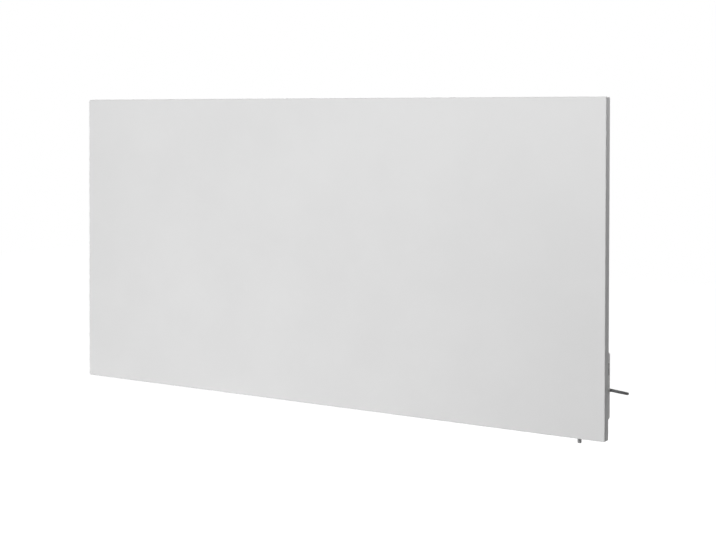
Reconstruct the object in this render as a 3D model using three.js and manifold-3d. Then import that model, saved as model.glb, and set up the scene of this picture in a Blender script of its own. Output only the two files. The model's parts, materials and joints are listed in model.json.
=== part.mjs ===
// A wall-hung infrared panel heater: a flat folded-steel tray with a heating element behind its face, a
// moulded control housing on its back, a mains lead with a plug, and the rail that it hangs on.
// Millimetres. +X is to the right seen from the front, +Y is towards the wall, +Z is up.
// Pieces are placed in the panel's own frame: X from the panel's middle, Y (depth) from its front face
// and Z from its lower edge. The outer group then moves the origin to the middle of the wall rail's back.
import * as THREE from "three";
import { mergeVertices } from "three/addons/utils/BufferGeometryUtils.js";
import Module from "manifold-3d";

const wasm = await Module();
wasm.setup();

// ---------------------------------------------------------------- driving sizes
// Panel tray and back plate
const PANEL_WIDTH = 1200;
const PANEL_HEIGHT = 600;
const TRAY_DEPTH = 17;
const TRAY_GAUGE = 1;
const TRAY_EDGE_RADIUS = 1.6;
const TRAY_CORNER_RADIUS = 2.5;
const TRAY_FLANGE = 18;
const MITRE_GAP = 0.8;
const BACK_GAUGE = 0.8;
const BACK_INSET = 8;
const BACK_CORNER_RADIUS = 6;
const BEAD_WIDTH = 16;
const BEAD_HEIGHT = 2.2;
const BEAD_LENGTH = 290;
const BEAD_PITCH = 200;
const BEAD_COUNT = 5;

// Clearances
const SEAT = 0.3; // between two pieces that rest on each other
const WIRE_FIT = 0.3; // around a lead or a screw in its hole

// Heating element and insulation
const FILM_MARGIN = 22;
const FILM_GAUGE = 0.6;
const TRACK_WIDTH = 9;
const TRACK_GAUGE = 0.4;
const TRACK_RUNS = 24;
const TRACK_MARGIN = 40;
const PAD_SIZE = 16;
const PAD_WINDOW = 24;
const SHEET_CORNER = 4;
const FOIL_GAUGE = 0.3;
const MAT_GAUGE = 9;
const WIRE_DIAMETER = 2.4;
const WIRE_LIFT = 0.5; // over the mat
const CUTOUT_X = 300;
const CUTOUT_LOW = 200;
const CUTOUT_HIGH = 400;
const CUTOUT_DIAMETER = 16;
const CUTOUT_HEIGHT = 6.5;
const CUTOUT_REACH = 17; // from the middle of a cut-out to the end of its blades
const CUTOUT_WINDOW_WIDTH = 32;
const CUTOUT_WINDOW_HEIGHT = 68;
const STUD_DIAMETER = 5;
const STUD_LENGTH = 9;
const STUD_HEIGHT = 210;
const STUD_COLLAR = 1;
const RING_GAUGE = 0.8;

// Control housing
const HOUSING_WIDTH = 104;
const HOUSING_HEIGHT = 120;
const HOUSING_DEPTH = 25;
const HOUSING_SIDE_GAP = 7.8; // from the panel's right edge
const HOUSING_LIFT = 31; // from the panel's lower edge
const HOUSING_WALL = 2.2;
const HOUSING_CORNER_RADIUS = 4.5;
const HOUSING_EDGE_RADIUS = 1.6;
const HOUSING_DRAFT = 0.3; // each side, over the depth
const BASE_GAUGE = 2.4;
const RIM_FIT = 0.5; // between the base's edge and the cover
const RIM_WIDTH = 1.6;
const RIM_HEIGHT = 4;
const BOSS_INSET = 11;
const BOSS_DIAMETER = 7.4;
const BOSS_HEIGHT = 8.6;
const HOUSING_SCREW_DIAMETER = 2.6;
const HOUSING_SCREW_HEAD = 5.6;
const COUNTERBORE_DEPTH = 5;
const POST_DIAMETER = 9.4;
const COVER_SCREW_LENGTH = 13;
const COVER_RIB = 1.5;
const VENT_COUNT = 6;
const VENT_PITCH = 6;
const VENT_WIDTH = 2;
const VENT_LENGTH = 11;
const VENT_TOP_OFFSET = 2; // from the housing's middle, to the right
const VENT_LOW_OFFSET = 27; // from the housing's middle, to the left

// Controller
const BOARD_WIDTH = 58;
const BOARD_HEIGHT = 78;
const BOARD_GAUGE = 1.6;
const BOARD_OFFSET = 18; // from the housing's middle, to the left
const STANDOFF_DIAMETER = 5;
const STANDOFF_HEIGHT = 4;
const RELAY_SIZE = [12.6, 10, 28];
const POWER_MODULE_SIZE = [22, 9.5, 34];
const CAPACITOR_DIAMETER = 10;
const CAPACITOR_HEIGHT = 9.5;
const TERMINAL_SIZE = [20, 13, 21];
const TERMINAL_PITCH = 6;
const TERMINAL_SHIFT = 31.3; // from the housing's middle, to the right
const TERMINAL_DROP = 18; // from the cord down to the block's top
const CORE_DIAMETER = 2.2;
const CLAMP_SPREAD = 8;
const CLAMP_GAUGE = 5;
const CLAMP_SCREW_LENGTH = 8;
const PILLAR_DIAMETER = 6.4;
const GROMMET_HEIGHT = 115;
const GROMMET_OFFSET = 19; // from the housing's middle, to the right
const GROMMET_BORE = 9.6;
const GROMMET_GROOVE = 14;
const GROMMET_LIP = 1.2;

// Rocker switch on the housing's right side
const SWITCH_DEPTH = 27.5;
const SWITCH_GAP = 3.7; // from the cover's upper post down to the switch's body
const SWITCH_BODY_DEPTH = 14;
const SWITCH_WIDTH = 12.6;
const SWITCH_LENGTH = 19.2;
const WELL_DEPTH = 6.5;
const BEZEL_GAUGE = 1.2;
const BEZEL_LIP = 1.2;
const ROCKER_WIDTH = 9;
const ROCKER_LENGTH = 13.6;
const ROCKER_RISE = 4; // from its pivot to the ends of its face
const ROCKER_DISH = 1;
const ROCKER_KEEL = 3.4;
const ROCKER_END_PLAY = 1;
const ROCKER_TILT = 10; // degrees each way
const PIVOT_SINK = 1.6; // from the housing's side in to the pivot
const PIVOT_DIAMETER = 2;
const PIVOT_REACH = 1.1;
const PIVOT_PLAY = 0.3;
const BLADE_LENGTH = 7.5;
const BLADE_WIDTH = 4.8;
const BLADE_SPREAD = 5;

// Room-temperature probe under the housing
const PROBE_DIAMETER = 7.4;
const PROBE_DROP = 14; // below the panel's lower edge
const PROBE_DEPTH = 30;
const PROBE_LENGTH = 58;
const PROBE_LEAD_DIAMETER = 2;
const BUSH_NECK = 10.4;

// Supply lead and plug
const CORD_DIAMETER = 5.4;
const CORD_EXIT_DEPTH = 25;
const CORD_EXIT_HEIGHT = 87;
const SLEEVE_OUT = 8;
const SLEEVE_IN = 15;
const SLEEVE_NECK = 8.6;
const COIL_PITCH = 6; // from turn to turn and from layer to layer
const COIL_MEAN_RADIUS = 32.4;
const COIL_TURNS = 6;
const COIL_STEPS = 24; // to a turn
const COIL_SIDES = 6;
const COIL_SHIFT = 33.2; // from the housing's middle, to the left
const COIL_LEAN = 4.8; // from the back plate to the middle of the nearer layer
const TIE_WIDTH = 10;
const TIE_GAUGE = 1.2;
const PLUG_SHIFT = 27.8; // from the housing's middle, to the right
const PLUG_DIAMETER = 37;
const PLUG_THICKNESS = 22;
const RELIEF_ROOT = 13; // from the plug's middle
const RELIEF_END = 23.5; // the relief's length from its root
const GUIDE_DEPTH = 2.4;
const CLIP_LENGTH = 12;
const CLIP_SEAT = 1.8;
const CLIP_GAUGE = 1.2;
const PIN_DIAMETER = 4.8;
const PIN_LENGTH = 19;
const PIN_PITCH = 19;

// Hanging on the wall
const WALL_DEPTH = 68; // from the panel's front face to the wall
const RAIL_LENGTH = 720;
const RAIL_HEIGHT = 40;
const RAIL_GAUGE = 2;
const RAIL_REACH = 24; // from the wall to the front of the lip
const RAIL_LIP = 16;
const RAIL_DROP = 110; // from the panel's upper edge to the rail's middle
const SLOT_LENGTH = 18;
const SLOT_WIDTH = 7;
const SLOT_PITCH = 220;
const SLOT_COUNT = 4;
const SLOT_RISE = 9; // above the rail's middle
const BEND_RADIUS = 1;
const HANGER_LENGTH = 80;
const HANGER_SPREAD = 250;
const HANGER_FOOT = 34;
const HANGER_HOOK = 12;
const HANGER_PLAY = 0.8;
const HANGER_SCREW_SPREAD = 25;
const HANGER_SCREW_DIAMETER = 4;
const HANGER_SCREW_LENGTH = 7;
const SPACER_INSET = 180; // from each end of the panel
const SPACER_HEIGHT = 60;
const SPACER_DIAMETER = 22;
const SPACER_FLANGE = 38;
const SPACER_RIBS = 4;
const FOOT_DIAMETER = 26;
const FOOT_GAUGE = 5;
const FOOT_SPIGOT = 10;
const SPIGOT_LENGTH = 7;

const ROUND_SIDES = 24;
const SMALL_SIDES = 12;
const CURVE_STEPS = 4;
const BEND_STEPS = 3;

// ---------------------------------------------------------------- worked-out sizes
const BACK_START = TRAY_DEPTH + SEAT;
const BACK_FACE = BACK_START + BACK_GAUGE;
const FILM_Y = TRAY_GAUGE + SEAT;
const TRACK_Y = FILM_Y + FILM_GAUGE + SEAT;
const FOIL_Y = TRACK_Y + TRACK_GAUGE + SEAT;
const MAT_Y = FOIL_Y + FOIL_GAUGE + SEAT;
const WIRE_Y = MAT_Y + MAT_GAUGE + WIRE_LIFT + WIRE_DIAMETER / 2;
const FILM_WIDTH = PANEL_WIDTH - 2 * FILM_MARGIN;
const FILM_HEIGHT = PANEL_HEIGHT - 2 * FILM_MARGIN;
const TRACK_REACH = PANEL_WIDTH / 2 - TRACK_MARGIN;
const TRACK_PITCH = (PANEL_HEIGHT - 2 * TRACK_MARGIN) / (TRACK_RUNS - 1);
const BLADE_Y = FOIL_Y + CUTOUT_HEIGHT;
const STUD_X = PANEL_WIDTH / 2 - TRAY_FLANGE / 2;
const RING_Y = TRAY_DEPTH - TRAY_GAUGE - STUD_COLLAR - 2 * SEAT - RING_GAUGE;

const HOUSING_START = BACK_FACE + SEAT;
const HOUSING_END = HOUSING_START + HOUSING_DEPTH;
const HOUSING_SIDE = PANEL_WIDTH / 2 - HOUSING_SIDE_GAP;
const HOUSING_X = HOUSING_SIDE - HOUSING_WIDTH / 2;
const HOUSING_Z = HOUSING_LIFT + HOUSING_HEIGHT / 2;
const HOUSING_TOP = HOUSING_LIFT + HOUSING_HEIGHT;
const BASE_FACE = HOUSING_START + BASE_GAUGE;
const BASE_WIDTH = HOUSING_WIDTH - 2 * (HOUSING_WALL + RIM_FIT);
const BASE_HEIGHT = HOUSING_HEIGHT - 2 * (HOUSING_WALL + RIM_FIT);
const BOSS_END = BASE_FACE + BOSS_HEIGHT;
const COVER_INSIDE = HOUSING_END - HOUSING_WALL;
const BOARD_Y = BASE_FACE + STANDOFF_HEIGHT + SEAT;
const BOARD_FACE = BOARD_Y + BOARD_GAUGE;
const BOARD_X = HOUSING_X - BOARD_OFFSET;
const GROMMET_X = HOUSING_X + GROMMET_OFFSET;
const SWITCH_HEIGHT = HOUSING_TOP - BOSS_INSET - POST_DIAMETER / 2 - SWITCH_GAP - SWITCH_LENGTH / 2;
const PIVOT_X = HOUSING_SIDE - PIVOT_SINK;
const CLAMP_X = HOUSING_SIDE - SLEEVE_IN - 10;
const PILLAR_END = CORD_EXIT_DEPTH + 0.7;
const TERMINAL_X = HOUSING_X + TERMINAL_SHIFT;
const TERMINAL_Y = BASE_FACE + SEAT;
const TERMINAL_TOP = CORD_EXIT_HEIGHT - TERMINAL_DROP;
const VENT_TOP_X = HOUSING_X + VENT_TOP_OFFSET;
const VENT_LOW_X = HOUSING_X - VENT_LOW_OFFSET;
const PROBE_TOP = PROBE_LENGTH - PROBE_DROP;
const COIL_X = HOUSING_X - COIL_SHIFT;
const COIL_Y = BACK_FACE + COIL_LEAN;
const PLUG_X = HOUSING_X + PLUG_SHIFT;
const PLUG_Y = BACK_FACE + 0.8;
const PLUG_FACE = PLUG_Y + PLUG_THICKNESS;
const PLUG_Z = HOUSING_TOP + SEAT + PLUG_DIAMETER / 2;
const RELIEF_Y = PLUG_Y + 9.5;
const RAIL_MIDDLE = PANEL_HEIGHT - RAIL_DROP;
const LIP_TOP = RAIL_MIDDLE - RAIL_HEIGHT / 2 + RAIL_LIP;
const LIP_FRONT = WALL_DEPTH - RAIL_REACH;
const SPACER_SPREAD = PANEL_WIDTH / 2 - SPACER_INSET;

// ---------------------------------------------------------------- finishes
const FINISH = {
  whitePowder: { color: 0xe4e4e4, roughness: 0.62, metalness: 0 },
  zincSheet: { color: 0xb9bcbe, roughness: 0.45, metalness: 0.8 },
  whiteMoulding: { color: 0xdcdcdc, roughness: 0.55, metalness: 0 },
  blackMoulding: { color: 0x1c1c1d, roughness: 0.4, metalness: 0 },
  greyCord: { color: 0x5f6062, roughness: 0.5, metalness: 0 },
  darkRubber: { color: 0x2b2b2c, roughness: 0.8, metalness: 0 },
  steel: { color: 0x9a9c9e, roughness: 0.3, metalness: 1 },
  nickel: { color: 0xc8c6bf, roughness: 0.25, metalness: 1 },
  foil: { color: 0xc9cbcc, roughness: 0.3, metalness: 1 },
  carbonFilm: { color: 0x26241f, roughness: 0.7, metalness: 0 },
  copper: { color: 0xb87345, roughness: 0.35, metalness: 1 },
  mineralWool: { color: 0xd8cfa8, roughness: 0.95, metalness: 0 },
  greenBoard: { color: 0x1f5a34, roughness: 0.5, metalness: 0 },
  brownWire: { color: 0x6b3d22, roughness: 0.5, metalness: 0 },
  blueWire: { color: 0x2c4f8f, roughness: 0.5, metalness: 0 },
  earthWire: { color: 0x9aa23a, roughness: 0.5, metalness: 0 },
};

const AXIS_X = new THREE.Vector3(1, 0, 0);
const AXIS_Y = new THREE.Vector3(0, 1, 0);
const AXIS_Z = new THREE.Vector3(0, 0, 1);
const DOWN = new THREE.Vector3(0, 0, -1);
const BACKWARD = new THREE.Vector3(0, -1, 0);

// ---------------------------------------------------------------- shape tools
// A geometry's position alone, with the points that meet made one.
function weld(geometry) {
  const bare = geometry.clone();
  bare.deleteAttribute("normal");
  bare.deleteAttribute("uv");
  return mergeVertices(bare, 1e-4);
}

function solid(geometry) {
  const welded = weld(geometry);
  return new wasm.Manifold(
    new wasm.Mesh({
      numProp: 3,
      vertProperties: welded.attributes.position.array,
      triVerts: new Uint32Array(welded.index.array),
    }),
  );
}

function geometryOf(body) {
  const mesh = body.getMesh();
  const geometry = new THREE.BufferGeometry();
  geometry.setAttribute("position", new THREE.BufferAttribute(mesh.vertProperties, 3));
  geometry.setIndex(new THREE.BufferAttribute(mesh.triVerts, 1));
  return geometry;
}

const join = (...pieces) => geometryOf(pieces.map(solid).reduce((whole, next) => whole.add(next)));
const cut = (base, ...tools) => {
  return geometryOf(tools.map(solid).reduce((rest, tool) => rest.subtract(tool), solid(base)));
};

// A closed skin through rings with equal counts of points, with a flat fan over each end. The rings run
// anticlockwise seen from the last one's outer side.
function loft(rings) {
  const count = rings[0].length;
  const points = rings.flat();
  const faces = [];
  for (let r = 0; r + 1 < rings.length; r++) {
    for (let i = 0; i < count; i++) {
      const here = r * count + i;
      const next = r * count + ((i + 1) % count);
      faces.push(here, next, next + count, here, next + count, here + count);
    }
  }
  for (const end of [0, rings.length - 1]) {
    const middle = points.length;
    points.push(rings[end].reduce((sum, p) => sum.add(p), new THREE.Vector3()).divideScalar(count));
    for (let i = 0; i < count; i++) {
      const here = end * count + i;
      const next = end * count + ((i + 1) % count);
      faces.push(middle, ...(end === 0 ? [next, here] : [here, next]));
    }
  }
  const geometry = new THREE.BufferGeometry().setFromPoints(points);
  geometry.setIndex(faces);
  return geometry;
}

// A rectangle with round corners as a ring of points in X and Z at one depth, anticlockwise seen from
// the front, so a loft of such rings runs from the back to the front.
function ringXZ(width, height, radius, x, y, z, steps = CURVE_STEPS) {
  const points = [];
  for (let corner = 0; corner < 4; corner++) {
    const sideX = corner === 0 || corner === 3 ? 1 : -1;
    const sideZ = corner < 2 ? 1 : -1;
    for (let i = 0; i <= steps; i++) {
      const turn = ((corner + i / steps) * Math.PI) / 2;
      const px = x + sideX * (width / 2 - radius) + radius * Math.cos(turn);
      const pz = z + sideZ * (height / 2 - radius) + radius * Math.sin(turn);
      points.push(new THREE.Vector3(px, y, pz));
    }
  }
  return points;
}

// A rounded rectangle as a flat outline.
function rounded(width, height, radius, x = 0, y = 0) {
  const shape = new THREE.Shape();
  const right = x + width / 2;
  const left = x - width / 2;
  const top = y + height / 2;
  const bottom = y - height / 2;
  shape.moveTo(left + radius, bottom);
  shape.lineTo(right - radius, bottom);
  shape.absarc(right - radius, bottom + radius, radius, -Math.PI / 2, 0);
  shape.lineTo(right, top - radius);
  shape.absarc(right - radius, top - radius, radius, 0, Math.PI / 2);
  shape.lineTo(left + radius, top);
  shape.absarc(left + radius, top - radius, radius, Math.PI / 2, Math.PI);
  shape.lineTo(left, bottom + radius);
  shape.absarc(left + radius, bottom + radius, radius, Math.PI, 1.5 * Math.PI);
  return shape;
}

function outline(points) {
  return new THREE.Shape(points.map(([x, y]) => new THREE.Vector2(x, y)));
}

function prism(shape, depth) {
  return new THREE.ExtrudeGeometry(shape, { depth, bevelEnabled: false, curveSegments: CURVE_STEPS / 2 });
}

// A flat outline in X and Z, made thick along +Y from the depth y.
function prismY(shape, y, depth) {
  return prism(shape, depth).rotateX(Math.PI / 2).translate(0, y + depth, 0);
}

// A flat outline in Y and Z, made thick along +X from x.
function prismX(shape, x, depth) {
  const turn = new THREE.Matrix4().makeBasis(AXIS_Y, AXIS_Z, AXIS_X);
  return prism(shape, depth).applyMatrix4(turn).translate(x, 0, 0);
}

// A flat outline in X and Y, made thick along +Z from z.
function prismZ(shape, z, depth) {
  return prism(shape, depth).translate(0, 0, z);
}

// A block between two corners.
function block(x0, y0, z0, x1, y1, z1) {
  const box = new THREE.BoxGeometry(x1 - x0, y1 - y0, z1 - z0);
  return box.translate((x0 + x1) / 2, (y0 + y1) / 2, (z0 + z1) / 2);
}

// A turned piece: pairs of radius and distance along its axis, which starts at a point.
function turned(profile, start, axis, sides = ROUND_SIDES) {
  const lathe = new THREE.LatheGeometry(
    profile.map(([radius, along]) => new THREE.Vector2(radius, along)),
    sides,
  );
  const turn = new THREE.Quaternion().setFromUnitVectors(AXIS_Y, axis);
  return lathe.applyQuaternion(turn).translate(...start);
}

function rod(diameter, length, start, axis, sides = ROUND_SIDES) {
  const r = diameter / 2;
  return turned([[0, 0], [r, 0], [r, length], [0, length]], start, axis, sides);
}

// A round tube along a smooth curve through points.
function tubeAlong(points, diameter, steps, sides) {
  const path = new THREE.CatmullRomCurve3(points.map((p) => new THREE.Vector3(...p)), false, "centripetal");
  const section = new THREE.Shape();
  for (let i = 0; i < sides; i++) {
    const turn = (2 * Math.PI * i) / sides;
    const x = (diameter / 2) * Math.cos(turn);
    const y = (diameter / 2) * Math.sin(turn);
    if (i === 0) section.moveTo(x, y);
    else section.lineTo(x, y);
  }
  return new THREE.ExtrudeGeometry(section, { extrudePath: path, steps, bevelEnabled: false });
}

const heater = new THREE.Group();
const placed = new THREE.Group();
placed.position.set(0, -WALL_DEPTH, -RAIL_MIDDLE);
heater.add(placed);

function piece(name, geometry, finish) {
  const mesh = new THREE.Mesh(geometry, new THREE.MeshStandardMaterial(finish));
  mesh.name = name;
  placed.add(mesh);
}

// ---------------------------------------------------------------- panel
// The tray: face, four returns and an inward flange at the back, mitred at the corners.
function frontTray() {
  const middle = PANEL_HEIGHT / 2;
  const ring = (inset, y) => {
    const radius = Math.max(TRAY_CORNER_RADIUS - inset, 0.4);
    return ringXZ(PANEL_WIDTH - 2 * inset, PANEL_HEIGHT - 2 * inset, radius, 0, y, middle, 3);
  };
  const bend = [0, 30, 60, 90].map((degrees) => {
    const turn = THREE.MathUtils.degToRad(degrees);
    return ring(TRAY_EDGE_RADIUS * (1 - Math.cos(turn)), TRAY_EDGE_RADIUS * (1 - Math.sin(turn)));
  });
  const skin = loft([ring(0, TRAY_DEPTH), ...bend]);
  const hollow = loft([ring(TRAY_GAUGE, TRAY_DEPTH - TRAY_GAUGE), ring(TRAY_GAUGE, TRAY_GAUGE)]);
  const mouth = loft([ring(TRAY_FLANGE, TRAY_DEPTH + 1), ring(TRAY_FLANGE, TRAY_DEPTH - 2 * TRAY_GAUGE)]);
  const mitres = [];
  for (const sideX of [-1, 1]) {
    for (const sideZ of [-1, 1]) {
      const start = TRAY_GAUGE + MITRE_GAP;
      const reach = TRAY_FLANGE * Math.SQRT2;
      const half = MITRE_GAP / 2;
      const slit = block(-half, TRAY_DEPTH - 1.5 * TRAY_GAUGE, 0, half, TRAY_DEPTH + 1, reach);
      slit.rotateY(Math.atan2(-sideX, -sideZ));
      slit.translate(sideX * (PANEL_WIDTH / 2 - start), 0, middle + sideZ * (middle - start));
      mitres.push(slit);
    }
  }
  return cut(skin, hollow, mouth, ...mitres);
}

// The back plate, stiffened by upright beads that are pressed out towards the wall.
function backPlate() {
  const middle = PANEL_HEIGHT / 2;
  const width = PANEL_WIDTH - 2 * BACK_INSET;
  const height = PANEL_HEIGHT - 2 * BACK_INSET;
  const plate = prismY(rounded(width, height, BACK_CORNER_RADIUS, 0, middle), BACK_START, BACK_GAUGE);
  const bead = (x, grow, base, crest) => {
    const ring = (shrink, y) => {
      const across = BEAD_WIDTH + 2 * (grow - shrink);
      return ringXZ(across, BEAD_LENGTH + 2 * (grow - shrink), across / 2 - 0.01, x, y, middle, 4);
    };
    const shoulder = crest - BEAD_HEIGHT / 4;
    return loft([ring(BEAD_HEIGHT, crest), ring(BEAD_HEIGHT / 2, shoulder), ring(0, base)]);
  };
  const humps = [];
  const hollows = [];
  for (let i = 0; i < BEAD_COUNT; i++) {
    const x = (i - (BEAD_COUNT - 1) / 2) * BEAD_PITCH;
    humps.push(bead(x, BACK_GAUGE, BACK_START + BACK_GAUGE / 2, BACK_FACE + BEAD_HEIGHT));
    hollows.push(bead(x, 0, BACK_START - 1, BACK_START + BEAD_HEIGHT));
  }
  const holes = hangerScrewPlaces().map(([x, z]) => hole(HANGER_SCREW_DIAMETER, x, z, BACK_START));
  const grommetHole = hole(GROMMET_GROOVE, GROMMET_X, GROMMET_HEIGHT, BACK_START);
  return cut(join(plate, ...humps), ...hollows, ...holes, grommetHole);
}

// A round hole along Y with the fit that its screw or bush needs, from just before a wall's depth.
function hole(diameter, x, z, y, depth = 6) {
  const sides = diameter > 8 ? ROUND_SIDES : SMALL_SIDES;
  return rod(diameter + 2 * WIRE_FIT, depth, [x, y - 1, z], AXIS_Y, sides);
}

// ---------------------------------------------------------------- heating element and insulation
// The heating track: a flat ribbon laid back and forth, with a solder pad at each end.
function heatingTrack() {
  const half = TRACK_WIDTH / 2;
  const strip = (x0, z0, x1, z1, reach) => {
    return block(x0 - reach, TRACK_Y, z0 - reach, x1 + reach, TRACK_Y + TRACK_GAUGE, z1 + reach);
  };
  const strips = [];
  for (let run = 0; run < TRACK_RUNS; run++) {
    strips.push(strip(-TRACK_REACH, trackHeight(run), TRACK_REACH, trackHeight(run), half));
  }
  for (let run = 1; run < TRACK_RUNS; run++) {
    const side = run % 2 === 1 ? -TRACK_REACH : TRACK_REACH;
    strips.push(strip(side, trackHeight(run - 1), side, trackHeight(run), half));
  }
  for (const run of [0, TRACK_RUNS - 1]) {
    strips.push(strip(TRACK_REACH, trackHeight(run), TRACK_REACH, trackHeight(run), PAD_SIZE / 2));
  }
  return join(...strips);
}

function trackHeight(run) {
  return TRACK_MARGIN + run * TRACK_PITCH;
}

// A sheet behind the track, open over the solder pads and round the two cut-outs.
function windowedSheet(y, gauge) {
  const sheet = rounded(FILM_WIDTH, FILM_HEIGHT, SHEET_CORNER, 0, PANEL_HEIGHT / 2);
  for (const run of [0, TRACK_RUNS - 1]) {
    sheet.holes.push(rounded(PAD_WINDOW, PAD_WINDOW, 2, TRACK_REACH, trackHeight(run)));
  }
  for (const z of [CUTOUT_LOW, CUTOUT_HIGH]) {
    sheet.holes.push(rounded(CUTOUT_WINDOW_WIDTH, CUTOUT_WINDOW_HEIGHT, 2, CUTOUT_X, z));
  }
  return prismY(sheet, y, gauge);
}

// A disc-shaped cut-out: round can, two fixing ears and a blade above and below.
function cutOut(z) {
  const r = CUTOUT_DIAMETER / 2;
  const h = CUTOUT_HEIGHT;
  const profile = [[0, 0], [r, 0], [r, h - 1.4], [r - 0.4, h - 0.6], [r - 1.4, h], [0, h]];
  const can = turned(profile, [CUTOUT_X, FOIL_Y, z], AXIS_Y, ROUND_SIDES);
  const ears = block(CUTOUT_X - r - 5, FOIL_Y, z - 4, CUTOUT_X + r + 5, FOIL_Y + 1, z + 4);
  const low = BLADE_Y - 0.4;
  const blades = block(CUTOUT_X - 2.4, low, z - CUTOUT_REACH, CUTOUT_X + 2.4, low + 0.8, z + CUTOUT_REACH);
  return join(can, ears, blades);
}

// The welded earth stud inside the right-hand flange, with its nut.
function earthStud() {
  const r = STUD_DIAMETER / 2;
  const start = [STUD_X, TRAY_DEPTH - TRAY_GAUGE - SEAT, STUD_HEIGHT];
  const collar = r + 1.1;
  const stud = turned([[0, 0], [collar, 0], [collar, STUD_COLLAR], [r, STUD_COLLAR], [r, STUD_LENGTH],
    [0, STUD_LENGTH]], start, BACKWARD, SMALL_SIDES);
  const nutStart = STUD_COLLAR + 2 * SEAT + RING_GAUGE;
  const nut = turned([[0, nutStart], [r + 2.1, nutStart], [r + 2.1, nutStart + 4], [0, nutStart + 4]], start,
    BACKWARD, 6);
  return join(stud, nut);
}

// The wires inside the panel. Each lies on the mat and drops to its blade, its pad or through the grommet.
function innerWires() {
  const x = CUTOUT_X;
  const reach = CUTOUT_REACH + SEAT;
  const y = WIRE_Y;
  const gx = GROMMET_X;
  const gz = GROMMET_HEIGHT;
  const padY = TRACK_Y + TRACK_GAUGE + SEAT;
  const low = trackHeight(0);
  const high = trackHeight(TRACK_RUNS - 1);
  const spread = 1.85; // how far each wire lies off the grommet's middle
  const rise = 13; // over which a wire climbs from a blade to the mat
  const turnIn = 2.5; // radius of the bend into the grommet
  const fall = (side, z) => [
    [x, BLADE_Y, z + side * reach],
    [x, BLADE_Y + 0.3, z + side * (reach + 3)],
    [x, y, z + side * (reach + rise)],
    [x, y, z + side * (reach + 2 * rise)],
  ];
  // In from one side of the grommet, back through it and down over the cord clamp to the terminal block.
  const through = (angle, from, entry) => {
    const px = gx + spread * Math.cos(angle);
    const pz = gz + spread * Math.sin(angle);
    const off = [4 * turnIn, turnIn, turnIn * 0.3];
    const bend = [0, 0, turnIn * 0.3];
    const inward = off.map((away, i) => [px + away * Math.cos(from), y + bend[i], pz + away * Math.sin(from)]);
    const level = COVER_INSIDE - 4.6;
    const down = [[level, 12], [level, 7.6], [level - 1.8, 4.4], [TERMINAL_Y + 10, 2.4], [TERMINAL_Y + 9, 0.4],
      [TERMINAL_Y + 9, -3]];
    const end = TERMINAL_X + entry;
    return [
      ...inward,
      [px, y + turnIn, pz],
      [px, y + 2 * turnIn, pz],
      [px, BASE_FACE + 6, pz],
      [px + (end - px) * 0.12, level - 2, pz - 3.5],
      [px + (end - px) * 0.35, level, pz - 9],
      ...down.map(([depth, over]) => [end, depth, TERMINAL_TOP + over]),
    ];
  };
  const live = [
    ...fall(-1, CUTOUT_LOW),
    [x + 6, y, gz + 20],
    [x + 30, y, gz + 4],
    [x + 50, y, gz],
    [gx - 50, y, gz],
    ...through(Math.PI, Math.PI, -TERMINAL_PITCH),
  ];
  const link = [...fall(1, CUTOUT_LOW), ...fall(-1, CUTOUT_HIGH).reverse()];
  const element = [
    ...fall(1, CUTOUT_HIGH),
    [x + 12, y, high - 60],
    [x + 40, y, high - 12],
    [x + 70, y, high],
    [TRACK_REACH - 40, y, high],
    [TRACK_REACH - 8, y, high],
    [TRACK_REACH - 1.5, y - 1.5, high],
    [TRACK_REACH, y - 6, high],
    [TRACK_REACH, padY, high],
  ];
  const neutral = [
    [TRACK_REACH, padY, low],
    [TRACK_REACH, y - 6, low],
    [TRACK_REACH, y - 1.5, low + 1.5],
    [TRACK_REACH, y, low + 8],
    [TRACK_REACH, y, low + 26],
    [gx + spread, y, gz - 22],
    ...through(-Math.PI / 3, -Math.PI / 2, 0),
  ];
  const earth = [
    [STUD_X, RING_Y + RING_GAUGE / 2, STUD_HEIGHT - 6.5],
    [STUD_X, y, STUD_HEIGHT - 16],
    [STUD_X - 12, y, STUD_HEIGHT - 44],
    [gx + 4, y, gz + 38],
    [gx, y, gz + 22],
    ...through(Math.PI / 3, Math.PI / 2, TERMINAL_PITCH),
  ];
  const wire = (points, steps) => tubeAlong(points, WIRE_DIAMETER, steps, 6);
  const rb = STUD_DIAMETER / 2 + WIRE_FIT;
  const eye = turned([[rb, 0], [rb + 2.4, 0], [rb + 2.4, RING_GAUGE], [rb, RING_GAUGE], [rb, 0]],
    [STUD_X, RING_Y, STUD_HEIGHT], AXIS_Y, SMALL_SIDES);
  const tongue = block(STUD_X - 1.2, RING_Y, STUD_HEIGHT - 9, STUD_X + 1.2, RING_Y + RING_GAUGE,
    STUD_HEIGHT - rb - 1.2);
  piece("wire_live", wire(live, 64), FINISH.brownWire);
  piece("wire_link", wire(link, 24), FINISH.brownWire);
  piece("wire_element", wire(element, 40), FINISH.brownWire);
  piece("wire_neutral", wire(neutral, 44), FINISH.blueWire);
  piece("wire_earth", join(wire(earth, 44), eye, tongue), FINISH.earthWire);
}

// The rubber grommet that lines the hole through the back plate and the housing's base.
function grommet() {
  const start = BACK_START - SEAT - GROMMET_LIP;
  const groove = [GROMMET_LIP, BASE_FACE + SEAT - start];
  const end = groove[1] + GROMMET_LIP;
  const bore = GROMMET_BORE / 2;
  const neck = GROMMET_GROOVE / 2;
  const lip = neck + 2;
  const profile = [[bore, 0], [lip, 0], [lip, groove[0]], [neck, groove[0]], [neck, groove[1]],
    [lip, groove[1]], [lip - 0.6, end], [bore, end], [bore, 0]];
  return turned(profile, [GROMMET_X, start, GROMMET_HEIGHT], AXIS_Y, ROUND_SIDES);
}

// ---------------------------------------------------------------- control housing
const cornerPlaces = (x, z, spreadX, spreadZ) => {
  return [[-1, -1], [1, -1], [1, 1], [-1, 1]].map(([i, k]) => [x + i * spreadX, z + k * spreadZ]);
};

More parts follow.
